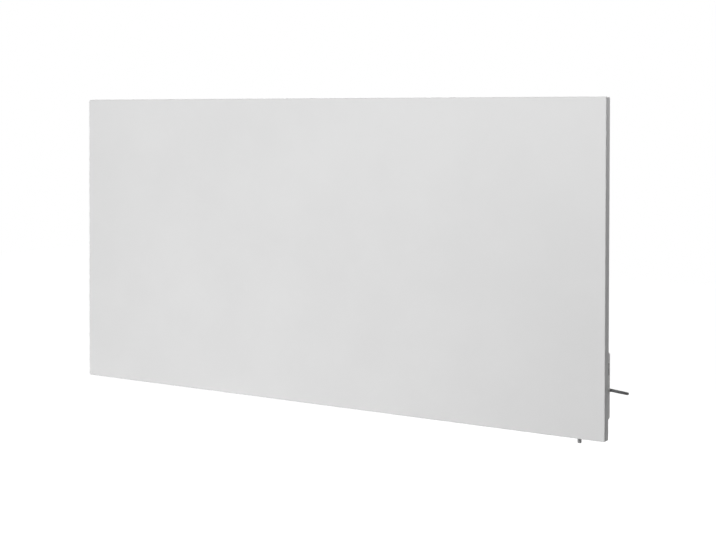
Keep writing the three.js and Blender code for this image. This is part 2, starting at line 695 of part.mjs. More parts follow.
function bossPlaces() {
  const spreadX = HOUSING_WIDTH / 2 - BOSS_INSET;
  return cornerPlaces(HOUSING_X, HOUSING_Z, spreadX, HOUSING_HEIGHT / 2 - BOSS_INSET);
}

// What passes through the housing's sides: a block for the switch, rods for the sleeve and the probe bush.
function sideOpenings(grow) {
  const half = SWITCH_WIDTH / 2 + grow;
  const tall = SWITCH_LENGTH / 2 + grow;
  const inner = HOUSING_SIDE - 3 * HOUSING_WALL;
  return [
    block(inner, SWITCH_DEPTH - half, SWITCH_HEIGHT - tall, HOUSING_SIDE + 1, SWITCH_DEPTH + half,
      SWITCH_HEIGHT + tall),
    rod(SLEEVE_NECK + 2 * grow, 3 * HOUSING_WALL + 1, [inner, CORD_EXIT_DEPTH, CORD_EXIT_HEIGHT], AXIS_X),
    rod(BUSH_NECK + 2 * grow, 3 * HOUSING_WALL + 1, [HOUSING_X, PROBE_DEPTH, HOUSING_LIFT - 1], AXIS_Z),
  ];
}

// The base: floor, locating rim, four screw bosses, board standoffs and the two pillars of the cord clamp.
function housingBase() {
  const corner = HOUSING_CORNER_RADIUS - HOUSING_WALL - RIM_FIT;
  const root = BASE_FACE - BASE_GAUGE / 2;
  const floor = prismY(rounded(BASE_WIDTH, BASE_HEIGHT, corner, HOUSING_X, HOUSING_Z), HOUSING_START, BASE_GAUGE);
  const rimShape = rounded(BASE_WIDTH, BASE_HEIGHT, corner, HOUSING_X, HOUSING_Z);
  const inner = corner - RIM_WIDTH;
  rimShape.holes.push(
    rounded(BASE_WIDTH - 2 * RIM_WIDTH, BASE_HEIGHT - 2 * RIM_WIDTH, inner, HOUSING_X, HOUSING_Z));
  const rim = cut(prismY(rimShape, root, BASE_FACE - root + RIM_HEIGHT), ...sideOpenings(2.5));
  const post = (diameter, top) => ([x, z]) => rod(diameter, top - root, [x, root, z], AXIS_Y, SMALL_SIDES);
  const bosses = bossPlaces().map(post(BOSS_DIAMETER, BOSS_END));
  const standoffs = standoffPlaces().map(post(STANDOFF_DIAMETER, BOARD_Y - SEAT));
  const pillars = clampPlaces().map(post(PILLAR_DIAMETER, PILLAR_END));
  const saddle = block(CLAMP_X - 3, root, CORD_EXIT_HEIGHT - 3, CLAMP_X + 3,
    CORD_EXIT_DEPTH - CORD_DIAMETER / 2 - SEAT, CORD_EXIT_HEIGHT + 3);
  const screwHoles = [...bossPlaces(), ...clampPlaces()].map(([x, z]) => {
    return hole(HOUSING_SCREW_DIAMETER, x, z, BASE_FACE + 1.6, BOSS_HEIGHT + 4);
  });
  const notch = block(HOUSING_SIDE - HOUSING_WALL - 3.6, HOUSING_START - 1, CORD_EXIT_HEIGHT - SLEEVE_NECK * 0.76,
    HOUSING_SIDE, BASE_FACE + 1, CORD_EXIT_HEIGHT + SLEEVE_NECK * 0.76);
  const body = join(floor, rim, ...bosses, ...standoffs, ...pillars, saddle);
  return cut(body, ...screwHoles, notch, hole(GROMMET_GROOVE, GROMMET_X, GROMMET_HEIGHT, HOUSING_START));
}

function standoffPlaces() {
  return cornerPlaces(BOARD_X, HOUSING_Z, BOARD_WIDTH / 2 - 4, BOARD_HEIGHT / 2 - 4);
}

function clampPlaces() {
  return [-1, 1].map((side) => [CLAMP_X, CORD_EXIT_HEIGHT + side * CLAMP_SPREAD]);
}

// How far the housing's sides have drawn in at a depth.
function draftAt(y) {
  return (HOUSING_DRAFT * (y - HOUSING_START)) / HOUSING_DEPTH;
}

function housingRing(inset, y) {
  const across = HOUSING_WIDTH - 2 * inset;
  const up = HOUSING_HEIGHT - 2 * inset;
  return ringXZ(across, up, HOUSING_CORNER_RADIUS - inset, HOUSING_X, y, HOUSING_Z);
}

// The cover: a drafted shell with a round back edge, counterbored screw posts, stiffening ribs, vents in
// its top and underside, and openings for the switch, the sleeve and the probe.
function housingCover() {
  const edge = [90, 60, 30, 0].map((degrees) => {
    const turn = THREE.MathUtils.degToRad(degrees);
    const y = HOUSING_END - HOUSING_EDGE_RADIUS * (1 - Math.sin(turn));
    return housingRing(HOUSING_EDGE_RADIUS * (1 - Math.cos(turn)) + draftAt(y), y);
  });
  const shell = loft([...edge, housingRing(0, HOUSING_START)]);
  const hollow = loft([
    housingRing(HOUSING_WALL + draftAt(COVER_INSIDE), COVER_INSIDE),
    housingRing(HOUSING_WALL, HOUSING_START - 1),
  ]);
  const root = COVER_INSIDE + HOUSING_WALL / 2;
  const ribEnd = COVER_INSIDE - COVER_RIB;
  const ribs = [-1, 0, 1].map((i) => {
    const x = BOARD_X + i * 18;
    return block(x - 0.6, ribEnd, HOUSING_Z - 44, x + 0.6, root, HOUSING_Z + 44);
  });
  const crossRibs = [-1, 1].map((i) => {
    const z = HOUSING_Z + i * 30;
    return block(BOARD_X - 26, ribEnd, z - 0.6, BOARD_X + 26, root, z + 0.6);
  });
  const postStart = BOSS_END + SEAT;
  const posts = bossPlaces().map(([x, z]) => {
    return rod(POST_DIAMETER, root - postStart, [x, postStart, z], AXIS_Y, SMALL_SIDES);
  });
  const bores = bossPlaces().flatMap(([x, z]) => [
    hole(HOUSING_SCREW_DIAMETER, x, z, postStart, HOUSING_DEPTH),
    rod(HOUSING_SCREW_HEAD + 0.8, COUNTERBORE_DEPTH + 1, [x, HOUSING_END - COUNTERBORE_DEPTH, z], AXIS_Y,
      SMALL_SIDES),
  ]);
  const vents = [];
  for (let i = 0; i < VENT_COUNT; i++) {
    const along = (i - (VENT_COUNT - 1) / 2) * VENT_PITCH;
    for (const [x, z] of [[VENT_TOP_X + along, HOUSING_TOP], [VENT_LOW_X + along, HOUSING_LIFT]]) {
      vents.push(block(x - VENT_WIDTH / 2, PROBE_DEPTH - VENT_LENGTH / 2, z - 2 * HOUSING_WALL,
        x + VENT_WIDTH / 2, PROBE_DEPTH + VENT_LENGTH / 2, z + 2 * HOUSING_WALL));
    }
  }
  const whole = join(cut(shell, hollow), ...ribs, ...crossRibs, ...posts);
  return cut(whole, ...bores, ...vents, ...sideOpenings(WIRE_FIT));
}

function panScrew(name, x, y, z, shank, head, length) {
  const profile = [[0, -length], [shank / 2, -length + 0.4], [shank / 2, 0], [head / 2, 0],
    [head / 2, 1.1], [head / 2 - 0.9, 2], [0, 2]];
  piece(name, turned(profile, [x, y, z], AXIS_Y, SMALL_SIDES), FINISH.steel);
}

// The board with its radio module, small parts and sensor socket; taller parts are pieces of their own.
function controllerBoard() {
  const board = prismY(rounded(BOARD_WIDTH, BOARD_HEIGHT, 2, BOARD_X, HOUSING_Z), BOARD_Y, BOARD_GAUGE);
  const part = (dx, dz, width, height, rise) => {
    const x = BOARD_X + dx;
    const z = HOUSING_Z + dz;
    return block(x - width / 2, BOARD_FACE - 0.5, z - height / 2, x + width / 2, BOARD_FACE + rise,
      z + height / 2);
  };
  const parts = [
    part(-15, -24, 16, 20, 2.4),
    part(4, -18, 8, 8, 1.4),
    part(4, -31, 6, 4, 1.2),
    part(20, -33, 8, 6, 5),
    part(22, 6, 8, 16, 6),
  ];
  return join(board, ...parts);
}

function onBoard(name, dx, dz, [width, rise, height], finish) {
  const start = BOARD_FACE + SEAT;
  const ring = (inset, y) => ringXZ(width - 2 * inset, height - 2 * inset, 1.2, BOARD_X + dx, y, HOUSING_Z + dz, 2);
  piece(name, loft([ring(0.6, start + rise), ring(0, start + rise - 0.6), ring(0, start)]), finish);
}

// The terminal block: wire funnels in its top, screw wells in its back and core holes in its left side.
function terminalBlock() {
  const [width, depth, height] = TERMINAL_SIZE;
  const left = TERMINAL_X - width / 2;
  const bottom = TERMINAL_TOP - height;
  const body = block(left, TERMINAL_Y, bottom, left + width, TERMINAL_Y + depth, TERMINAL_TOP);
  const wells = [-1, 0, 1].flatMap((way) => {
    const x = TERMINAL_X + way * TERMINAL_PITCH;
    return [
      rod(WIRE_DIAMETER + 1.8, 7, [x, TERMINAL_Y + 9, TERMINAL_TOP - 6], AXIS_Z, SMALL_SIDES),
      rod(3.6, 6, [x, TERMINAL_Y + depth - 3, TERMINAL_TOP - 13], AXIS_Y, SMALL_SIDES),
    ];
  });
  const coreHoles = coreEnds().map(([x, y, z]) => rod(CORE_DIAMETER + 1.2, 5, [x - 3, y, z], AXIS_X, SMALL_SIDES));
  return cut(body, ...wells, ...coreHoles);
}

// Where the three cores of the supply lead end, inside the terminal block's left side.
function coreEnds() {
  const x = TERMINAL_X - TERMINAL_SIZE[0] / 2 + 1.4;
  return [-1, 0, 1].map((way) => [x, TERMINAL_Y + 5.5, TERMINAL_TOP - TERMINAL_SIZE[2] / 2 + way * 5]);
}

// The lead inside the housing: sheath through the clamp, then its three bare cores to the terminal block.
function leadInside() {
  const y = CORD_EXIT_DEPTH;
  const z = CORD_EXIT_HEIGHT;
  const start = HOUSING_SIDE - SLEEVE_IN - SEAT;
  const end = CLAMP_X - 5.5;
  const sheath = rod(CORD_DIAMETER, start - end, [end, y, z], AXIS_X, SMALL_SIDES);
  const cores = coreEnds().map(([cx, cy, cz], i) => {
    const off = (i - 1) * 1.3;
    const bow = end - 3.4 - (2 - i) * 0.3;
    const route = [[end + 2, y + off, z], [end - 1, y + off, z - 0.4], [bow, y + off * 2, z - 6],
      [bow, cy + off * 2, cz + 6], [bow + 2, cy + off * 0.3, cz + 0.8], [cx - 2, cy, cz], [cx, cy, cz]];
    return tubeAlong(route, CORE_DIAMETER, 12, 5);
  });
  return join(sheath, ...cores);
}

function cordClamp() {
  const y = PILLAR_END + SEAT;
  const z = CORD_EXIT_HEIGHT;
  const reach = CLAMP_SPREAD + PILLAR_DIAMETER / 2;
  const shape = rounded(8, 2 * reach, 2, CLAMP_X, z);
  const bar = prismY(shape, y, CLAMP_GAUGE);
  const groove = rod(CORD_DIAMETER + 2 * WIRE_FIT, 12, [CLAMP_X - 6, CORD_EXIT_DEPTH, z], AXIS_X, SMALL_SIDES);
  return cut(bar, groove, ...clampPlaces().map(([px, pz]) => hole(HOUSING_SCREW_DIAMETER, px, pz, y, 8)));
}

// The moulded strain relief: shank and flange inside, a neck in the wall, then a collar and a taper.
function cordSleeve() {
  const r = CORD_DIAMETER / 2;
  const neck = SLEEVE_NECK / 2;
  const wall = SLEEVE_IN - HOUSING_WALL - SEAT - draftAt(CORD_EXIT_DEPTH + neck + 1.6);
  const collar = SLEEVE_IN + SEAT;
  const end = SLEEVE_IN + SLEEVE_OUT;
  const profile = [[0, 0], [r + 0.8, 0], [r + 1.1, wall - 2.4], [neck + 1.6, wall - 2.2], [neck + 1.6, wall],
    [neck, wall], [neck, collar], [neck + 1, collar], [neck + 0.7, collar + 1.4], [r + 1.2, collar + 1.7],
    [r + 0.4, end], [0, end]];
  return turned(profile, [HOUSING_SIDE - SLEEVE_IN, CORD_EXIT_DEPTH, CORD_EXIT_HEIGHT], AXIS_X, 16);
}

// ---------------------------------------------------------------- rocker switch
function switchBody() {
  const bezelEnd = HOUSING_SIDE + SEAT + BEZEL_GAUGE;
  const body = block(HOUSING_SIDE - SWITCH_BODY_DEPTH, SWITCH_DEPTH - SWITCH_WIDTH / 2,
    SWITCH_HEIGHT - SWITCH_LENGTH / 2, bezelEnd - BEZEL_GAUGE / 2, SWITCH_DEPTH + SWITCH_WIDTH / 2,
    SWITCH_HEIGHT + SWITCH_LENGTH / 2);
  const flange = rounded(SWITCH_WIDTH + 2 * BEZEL_LIP, SWITCH_LENGTH + 2 * BEZEL_LIP, 1.5, SWITCH_DEPTH,
    SWITCH_HEIGHT);
  const bezel = prismX(flange, HOUSING_SIDE + SEAT, BEZEL_GAUGE);
  const half = ROCKER_WIDTH / 2 + SEAT;
  const tall = ROCKER_LENGTH / 2 + ROCKER_END_PLAY;
  const well = block(HOUSING_SIDE - WELL_DEPTH, SWITCH_DEPTH - half, SWITCH_HEIGHT - tall, bezelEnd + 1,
    SWITCH_DEPTH + half, SWITCH_HEIGHT + tall);
  const reach = half + PIVOT_REACH + SEAT;
  const bearings = rod(PIVOT_DIAMETER + 2 * PIVOT_PLAY, 2 * reach, [PIVOT_X, SWITCH_DEPTH - reach, SWITCH_HEIGHT],
    AXIS_Y, SMALL_SIDES);
  return cut(join(body, bezel), well, bearings);
}

// The rocker at rest in its OFF position: a dished face, a keel below it and a stub axle on each side.
function switchRocker() {
  const reach = ROCKER_LENGTH / 2;
  const face = [];
  for (let i = 0; i <= 6; i++) {
    const along = 1 - i / 3;
    face.push([ROCKER_RISE - ROCKER_DISH * (1 - along * along), along * reach]);
  }
  const keel = [[0.8, -reach], [-0.6, -0.62 * reach], [-ROCKER_KEEL, -1.6], [-ROCKER_KEEL, 1.6],
    [-0.6, 0.62 * reach], [0.8, reach]];
  const body = prismY(outline([...face, ...keel]), -ROCKER_WIDTH / 2, ROCKER_WIDTH);
  const stub = ROCKER_WIDTH / 2 + PIVOT_REACH;
  const axle = rod(PIVOT_DIAMETER, 2 * stub, [0, -stub, 0], AXIS_Y, SMALL_SIDES);
  const rocker = join(body, axle).rotateY(THREE.MathUtils.degToRad(ROCKER_TILT));
  return rocker.translate(PIVOT_X, SWITCH_DEPTH, SWITCH_HEIGHT);
}

function switchBlade(side) {
  const end = HOUSING_SIDE - SWITCH_BODY_DEPTH - SEAT;
  const z = SWITCH_HEIGHT + side * BLADE_SPREAD;
  return block(end - BLADE_LENGTH, SWITCH_DEPTH - BLADE_WIDTH / 2, z - 0.4, end, SWITCH_DEPTH + BLADE_WIDTH / 2,
    z + 0.4);
}

// ---------------------------------------------------------------- temperature probe
function probeTube() {
  const r = PROBE_DIAMETER / 2;
  const l = PROBE_LENGTH;
  const profile = [[0, 0], [r - 0.8, 0], [r, 0.8], [r, 6.4], [r - 0.4, 7], [r - 0.4, 8], [r, 8.6], [r, l - 3],
    [r - 0.4, l - 1.5], [r - 1.4, l - 0.4], [0, l]];
  return turned(profile, [HOUSING_X, PROBE_DEPTH, PROBE_TOP], DOWN);
}

function probeBush() {
  const bore = PROBE_DIAMETER / 2 + SEAT;
  const neck = BUSH_NECK / 2;
  const wall = HOUSING_WALL + 2 * SEAT + HOUSING_DRAFT;
  const profile = [[bore, 0], [neck + 1.2, 0.6], [neck + 1.5, 2], [neck, 2], [neck, 2 + wall],
    [neck + 1.5, 2 + wall], [neck + 0.7, 4.5 + wall], [bore, 4.5 + wall], [bore, 0]];
  return turned(profile, [HOUSING_X, PROBE_DEPTH, HOUSING_LIFT + wall - SEAT + 2], DOWN);
}

// ---------------------------------------------------------------- supply lead and plug
// The stored coil: a flat spiral in, half a turn in which it climbs a layer, and a flat spiral out. It
// starts at the left going up and ends at the top going right, each end straight for one diameter.
function coilRoute() {
  const total = COIL_TURNS + 0.25;
  const spiral = (total - 0.5) / 2;
  const outer = COIL_MEAN_RADIUS + (COIL_PITCH * spiral) / 2;
  const points = [];
  const count = Math.round(total * COIL_STEPS);
  for (let i = 0; i <= count; i++) {
    const turns = (total * i) / count;
    const inClimb = Math.min(Math.max(turns - spiral, 0), 0.5);
    const wound = Math.min(turns, spiral, total - turns) + inClimb - 2 * inClimb * inClimb;
    const radius = outer - COIL_PITCH * (inClimb > 0 && inClimb < 0.5 ? spiral + inClimb * (1 - 2 * inClimb) : wound);
    const angle = Math.PI * (1 - 2 * turns);
    const climbed = (1 - Math.cos(2 * Math.PI * inClimb)) / 2;
    const y = COIL_Y + COIL_PITCH * (1 - climbed);
    points.push(new THREE.Vector3(COIL_X + radius * Math.cos(angle), y, radius * Math.sin(angle)));
  }
  const first = points[0].clone().addScaledVector(AXIS_Z, -CORD_DIAMETER);
  const last = points[count].clone().addScaledVector(AXIS_X, CORD_DIAMETER);
  const route = [first, ...points, last];
  const lowest = Math.min(...route.map((p) => p.z));
  const lift = HOUSING_TOP + SEAT + CORD_DIAMETER / 2 - lowest;
  return route.map((p) => p.setZ(p.z + lift));
}

// The least gap between two parts of a coil that lie at least a quarter of a turn apart along it.
function leastGap(route) {
  let least = Infinity;
  for (let i = 0; i < route.length; i++) {
    for (let k = i + COIL_STEPS / 4; k < route.length; k++) {
      least = Math.min(least, route[i].distanceTo(route[k]));
    }
  }
  return least - CORD_DIAMETER;
}

// One unbroken tube: a ring of points round each point of the route, square to it, and a fan on each end.
function coilTube(route) {
  const rings = route.map((point, i) => {
    const before = route[Math.max(i - 1, 0)];
    const after = route[Math.min(i + 1, route.length - 1)];
    const along = after.clone().sub(before).normalize();
    if (i === 1) along.copy(AXIS_Z);
    if (i === route.length - 2) along.copy(AXIS_X);
    const side = new THREE.Vector3().crossVectors(AXIS_Y, along).normalize();
    const up = new THREE.Vector3().crossVectors(along, side);
    return Array.from({ length: COIL_SIDES }, (_, k) => {
      const turn = (2 * Math.PI * k) / COIL_SIDES;
      const offset = side.clone().multiplyScalar(Math.cos(turn)).addScaledVector(up, Math.sin(turn));
      return point.clone().addScaledVector(offset, CORD_DIAMETER / 2);
    });
  });
  return loft(rings);
}

// The free stretch: out of the sleeve, round a half turn beside the panel's edge, back behind the housing
// and up to the coil. Its points are chosen by hand.
const LEAD_ROUTE = [
  [600.5, 25, 87],
  [603, 25, 87],
  [608, 25.8, 86.2],
  [613, 28.2, 85.1],
  [617.6, 32, 83.8],
  [620.8, 37, 82.4],
  [622.3, 42.5, 81],
  [622, 48.2, 79.7],
  [620, 53.6, 78.5],
  [616.4, 58.4, 77.7],
  [611.4, 62.2, 77.2],
  [605.6, 64.4, 77.2],
  [598, 65, 77.9],
  [580, 65, 79.6],
  [560, 64.2, 82.6],
  [536, 62, 88],
  [511, 57.6, 97.5],
  [489.5, 51.4, 112],
  [475, 43.5, 132],
  [467.5, 35.5, 154],
  [466, 30, 172],
  [466, 28.9, 180],
];

// From the coil's top to the plug, chosen by hand.
const TAIL_ROUTE = [
  [518, 22.9, 233],
  [530, 23.4, 232.6],
  [542, 24.3, 230.2],
  [553, 25.7, 225],
  [562, 27.4, 217],
];

function plugBody() {
  const r = PLUG_DIAMETER / 2;
  const t = PLUG_THICKNESS;
  const disc = turned([[0, 0], [r - 3, 0], [r - 0.9, 0.9], [r, 3], [r, t - 0.8], [r - 0.6, t], [0, t]],
    [PLUG_X, PLUG_Y, PLUG_Z], AXIS_Y, 28);
  const relief = turned([[0, 0], [7.2, 0], [7.2, r - RELIEF_ROOT + 1], [5.4, r - RELIEF_ROOT + 6],
    [CORD_DIAMETER / 2 + 0.9, RELIEF_END], [0, RELIEF_END]],
    [PLUG_X, RELIEF_Y, PLUG_Z + RELIEF_ROOT], AXIS_Z, 16);
  const guides = [-1, 1].map((side) => {
    const x = PLUG_X + side * r;
    return block(x - GUIDE_DEPTH, PLUG_FACE - 13, PLUG_Z - 2.6, x + GUIDE_DEPTH, PLUG_FACE + 1, PLUG_Z + 2.6);
  });
  const clipSeats = [-1, 1].map((side) => {
    const z = PLUG_Z + side * r;
    return block(PLUG_X - 3.2, PLUG_FACE - CLIP_LENGTH - 1, z - CLIP_SEAT, PLUG_X + 3.2, PLUG_FACE + 1,
      z + CLIP_SEAT);
  });
  const earthHole = rod(5, 12, [PLUG_X, PLUG_FACE - 11, PLUG_Z + 9], AXIS_Y, SMALL_SIDES);
  return cut(join(disc, relief), ...guides, ...clipSeats, earthHole);
}

function plugPin(side) {
  const r = PIN_DIAMETER / 2;
  const l = PIN_LENGTH;
  const profile = [[0, 0], [r, 0], [r, l - 1.8], [r - 0.7, l - 0.5], [0, l]];
  return turned(profile, [PLUG_X + (side * PIN_PITCH) / 2, PLUG_FACE + SEAT, PLUG_Z], AXIS_Y, SMALL_SIDES);
}

// An earth clip: a strip in its seat on the plug's rim, bowed out a little towards its middle.
function plugClip(side) {
  const seat = PLUG_DIAMETER / 2 - CLIP_SEAT + SEAT;
  const y = PLUG_FACE - CLIP_LENGTH;
  const z = PLUG_Z + side * seat;
  const top = side * CLIP_GAUGE;
  const shape = outline([[y, z], [y + CLIP_LENGTH, z], [y + CLIP_LENGTH, z + top * 0.7],
    [y + CLIP_LENGTH * 0.6, z + top], [y + CLIP_LENGTH * 0.4, z + top], [y, z + top * 0.7]]);
  return prismX(shape, PLUG_X - 2.7, 5.4);
}

// A strap that closes round all the turns at the coil's right-hand side.
function cordTie(route) {
  const middle = (Math.max(...route.map((p) => p.z)) + Math.min(...route.map((p) => p.z))) / 2;
  const here = route.filter((p) => Math.abs(p.z - middle) < TIE_WIDTH && p.x > COIL_X);
  const reach = CORD_DIAMETER / 2 + WIRE_FIT;
  const left = Math.min(...here.map((p) => p.x)) - reach - 0.4;
  const right = Math.max(...here.map((p) => p.x)) + reach;
  const near = COIL_Y - reach;
  const far = COIL_Y + COIL_PITCH + reach;
  const x = (left + right) / 2;
  const y = (near + far) / 2;
  const across = right - left;
  const deep = far - near;
  const shape = rounded(across + 2 * TIE_GAUGE, deep + 2 * TIE_GAUGE, 3, x, y);
  shape.holes.push(rounded(across, deep, 3 - TIE_GAUGE, x, y));
  return prismZ(shape, middle - TIE_WIDTH / 2, TIE_WIDTH);
}

// ---------------------------------------------------------------- hanging parts
// The outline of a folded strip: its middle line, its gauge and the inside radius of its bends.
function folded(line, gauge, inside) {
  const points = line.map(([x, y]) => new THREE.Vector2(x, y));
  const sides = [[], []];
  const middle = inside + gauge / 2;
  points.forEach((point, i) => {
    const from = points[i - 1];
    const to = points[i + 1];
    const before = from ? point.clone().sub(from).normalize() : null;
    const after = to ? to.clone().sub(point).normalize() : null;
    if (!before || !after) {
      const along = before ?? after;
      const left = new THREE.Vector2(-along.y, along.x).multiplyScalar(gauge / 2);
      sides[0].push(point.clone().add(left));
      sides[1].push(point.clone().sub(left));
      return;
    }
    const bend = Math.atan2(before.cross(after), before.dot(after));
    const hand = Math.sign(bend);
    const start = point.clone().addScaledVector(before, -middle * Math.tan(Math.abs(bend) / 2));
    const normal = new THREE.Vector2(-before.y, before.x).multiplyScalar(hand);
    const centre = start.clone().addScaledVector(normal, middle);
    for (let step = 0; step <= BEND_STEPS; step++) {
      const spoke = normal.clone().negate().rotateAround(new THREE.Vector2(), (bend * step) / BEND_STEPS);
      sides[0].push(centre.clone().addScaledVector(spoke, middle - (hand * gauge) / 2));
      sides[1].push(centre.clone().addScaledVector(spoke, middle + (hand * gauge) / 2));
    }
  });
  return new THREE.Shape([...sides[1], ...sides[0].reverse()]);
}

function hangerScrewPlaces() {
  return [-1, 1].flatMap((side) => [-1, 1].map((end) => {
    return [side * HANGER_SPREAD + end * HANGER_SCREW_SPREAD, LIP_TOP + SEAT + HANGER_FOOT * 0.6];
  }));
}

// A hanger: foot on the back plate, web over the rail's lip and a hook down behind it.
function hanger(side) {
  const foot = BACK_FACE + SEAT + RAIL_GAUGE / 2;
  const web = LIP_TOP + SEAT + RAIL_GAUGE / 2;
  const hook = LIP_FRONT + RAIL_GAUGE + HANGER_PLAY + RAIL_GAUGE / 2;
  const line = [[foot, LIP_TOP + SEAT + HANGER_FOOT], [foot, web], [hook, web], [hook, LIP_TOP + SEAT - HANGER_HOOK]];
  const strip = prismX(folded(line, RAIL_GAUGE, BEND_RADIUS), side * HANGER_SPREAD - HANGER_LENGTH / 2,
    HANGER_LENGTH);
  return cut(strip, ...hangerScrewPlaces().map(([x, z]) => hole(HANGER_SCREW_DIAMETER, x, z, BACK_FACE)));
}

function wallRail() {
  const bottom = RAIL_MIDDLE - RAIL_HEIGHT / 2;
  const half = RAIL_GAUGE / 2;
  const line = [[LIP_FRONT + half, LIP_TOP], [LIP_FRONT + half, bottom + half],
    [WALL_DEPTH - half, bottom + half], [WALL_DEPTH - half, bottom + RAIL_HEIGHT]];
  const strip = prismX(folded(line, RAIL_GAUGE, BEND_RADIUS), -RAIL_LENGTH / 2, RAIL_LENGTH);
  const slots = [];
  for (let i = 0; i < SLOT_COUNT; i++) {
    const x = (i - (SLOT_COUNT - 1) / 2) * SLOT_PITCH;
    const slot = rounded(SLOT_LENGTH, SLOT_WIDTH, SLOT_WIDTH / 2 - 0.01, x, RAIL_MIDDLE + SLOT_RISE);
    slots.push(prismY(slot, WALL_DEPTH - 2 * RAIL_GAUGE, 3 * RAIL_GAUGE));
  }
  return cut(strip, ...slots);
}

// A lower spacer: flanged post with gussets, bored at its end for the foot.
function spacer(side) {
  const x = side * SPACER_SPREAD;
  const start = BACK_FACE + SEAT;
  const end = WALL_DEPTH - FOOT_GAUGE - SEAT;
  const r = SPACER_DIAMETER / 2;
  const flange = SPACER_FLANGE / 2;
  const l = end - start;
  const profile = [[0, 0], [flange, 0], [flange, 2.4], [flange - 0.6, 3], [r + 1, 3], [r, 4], [r - 2, l], [0, l]];
  const post = turned(profile, [x, start, SPACER_HEIGHT], AXIS_Y);
  const gussets = [];
  for (let i = 0; i < SPACER_RIBS; i++) {
    const shape = outline([[0, 1], [flange - 1.4, 1], [flange - 1.4, 3.2], [r - 2, l * 0.55], [0, l * 0.55]]);
    const rib = prism(shape, 2).translate(0, 0, -1);
    rib.rotateY(((i + 0.5) * 2 * Math.PI) / SPACER_RIBS);
    gussets.push(rib.translate(x, start, SPACER_HEIGHT));
  }
  const bore = rod(FOOT_SPIGOT + 2 * WIRE_FIT, SPIGOT_LENGTH + 2, [x, end - SPIGOT_LENGTH, SPACER_HEIGHT], AXIS_Y);
  return cut(join(post, ...gussets), bore);
}

function spacerFoot(side) {
  const r = FOOT_DIAMETER / 2;
  const spigot = FOOT_SPIGOT / 2;
  const start = WALL_DEPTH - FOOT_GAUGE - SPIGOT_LENGTH;
  const l = FOOT_GAUGE + SPIGOT_LENGTH;
  const profile = [[0, 0], [spigot - 0.5, 0], [spigot, 0.5], [spigot, SPIGOT_LENGTH], [r, SPIGOT_LENGTH],
    [r, l - 1], [r - 1, l], [0, l]];
  return turned(profile, [side * SPACER_SPREAD, start, SPACER_HEIGHT], AXIS_Y);
}

// ---------------------------------------------------------------- assembly
const middle = PANEL_HEIGHT / 2;
piece("front_tray", frontTray(), FINISH.whitePowder);
piece("back_plate", backPlate(), FINISH.whitePowder);
piece("heating_film", prismY(rounded(FILM_WIDTH, FILM_HEIGHT, SHEET_CORNER, 0, middle), FILM_Y, FILM_GAUGE),
  FINISH.carbonFilm);
piece("heating_track", heatingTrack(), FINISH.copper);
piece("reflector_foil", windowedSheet(FOIL_Y, FOIL_GAUGE), FINISH.foil);
piece("insulation_mat", windowedSheet(MAT_Y, MAT_GAUGE), FINISH.mineralWool);
piece("thermal_cutout", cutOut(CUTOUT_LOW), FINISH.nickel);
piece("thermal_fuse", cutOut(CUTOUT_HIGH), FINISH.nickel);
piece("earth_stud", earthStud(), FINISH.steel);
innerWires();
piece("wire_grommet", grommet(), FINISH.darkRubber);

piece("housing_base", housingBase(), FINISH.whiteMoulding);
piece("housing_cover", housingCover(), FINISH.whiteMoulding);
bossPlaces().forEach(([x, z], i) => {
  panScrew(`cover_screw_${i + 1}`, x, HOUSING_END - COUNTERBORE_DEPTH + SEAT, z, HOUSING_SCREW_DIAMETER,
    HOUSING_SCREW_HEAD, COVER_SCREW_LENGTH);
});
piece("controller_board", controllerBoard(), FINISH.greenBoard);
onBoard("relay", -17, 10, RELAY_SIZE, FINISH.blackMoulding);
onBoard("power_module", 3, 16, POWER_MODULE_SIZE, FINISH.blackMoulding);
piece("capacitor", rod(CAPACITOR_DIAMETER, CAPACITOR_HEIGHT, [BOARD_X + 21, BOARD_FACE + SEAT, HOUSING_Z + 26],
  AXIS_Y, 16), FINISH.blackMoulding);
piece("terminal_block", terminalBlock(), FINISH.whiteMoulding);
piece("lead_inside", leadInside(), FINISH.greyCord);
piece("cord_clamp", cordClamp(), FINISH.whiteMoulding);
clampPlaces().forEach(([x, z], i) => {
  panScrew(`clamp_screw_${i + 1}`, x, PILLAR_END + CLAMP_GAUGE + 2 * SEAT, z, HOUSING_SCREW_DIAMETER,
    HOUSING_SCREW_HEAD, CLAMP_SCREW_LENGTH);
});

piece("switch_body", switchBody(), FINISH.blackMoulding);
piece("switch_rocker", switchRocker(), FINISH.blackMoulding);
piece("switch_blade_1", switchBlade(1), FINISH.nickel);
piece("switch_blade_2", switchBlade(-1), FINISH.nickel);

piece("probe_tube", probeTube(), FINISH.steel);
piece("probe_bush", probeBush(), FINISH.darkRubber);
piece("probe_lead", tubeAlong([
  [HOUSING_X, PROBE_DEPTH, PROBE_TOP + SEAT],
  [HOUSING_X, PROBE_DEPTH, PROBE_TOP + 3],
  [HOUSING_X - 1, PROBE_DEPTH + 3.6, PROBE_TOP + 8],
  [BOARD_X + 20, BOARD_FACE + 9, HOUSING_Z - 32],
  [BOARD_X + 20, BOARD_FACE + 5 + SEAT, HOUSING_Z - 32],
], PROBE_LEAD_DIAMETER, 12, 6), FINISH.blackMoulding);

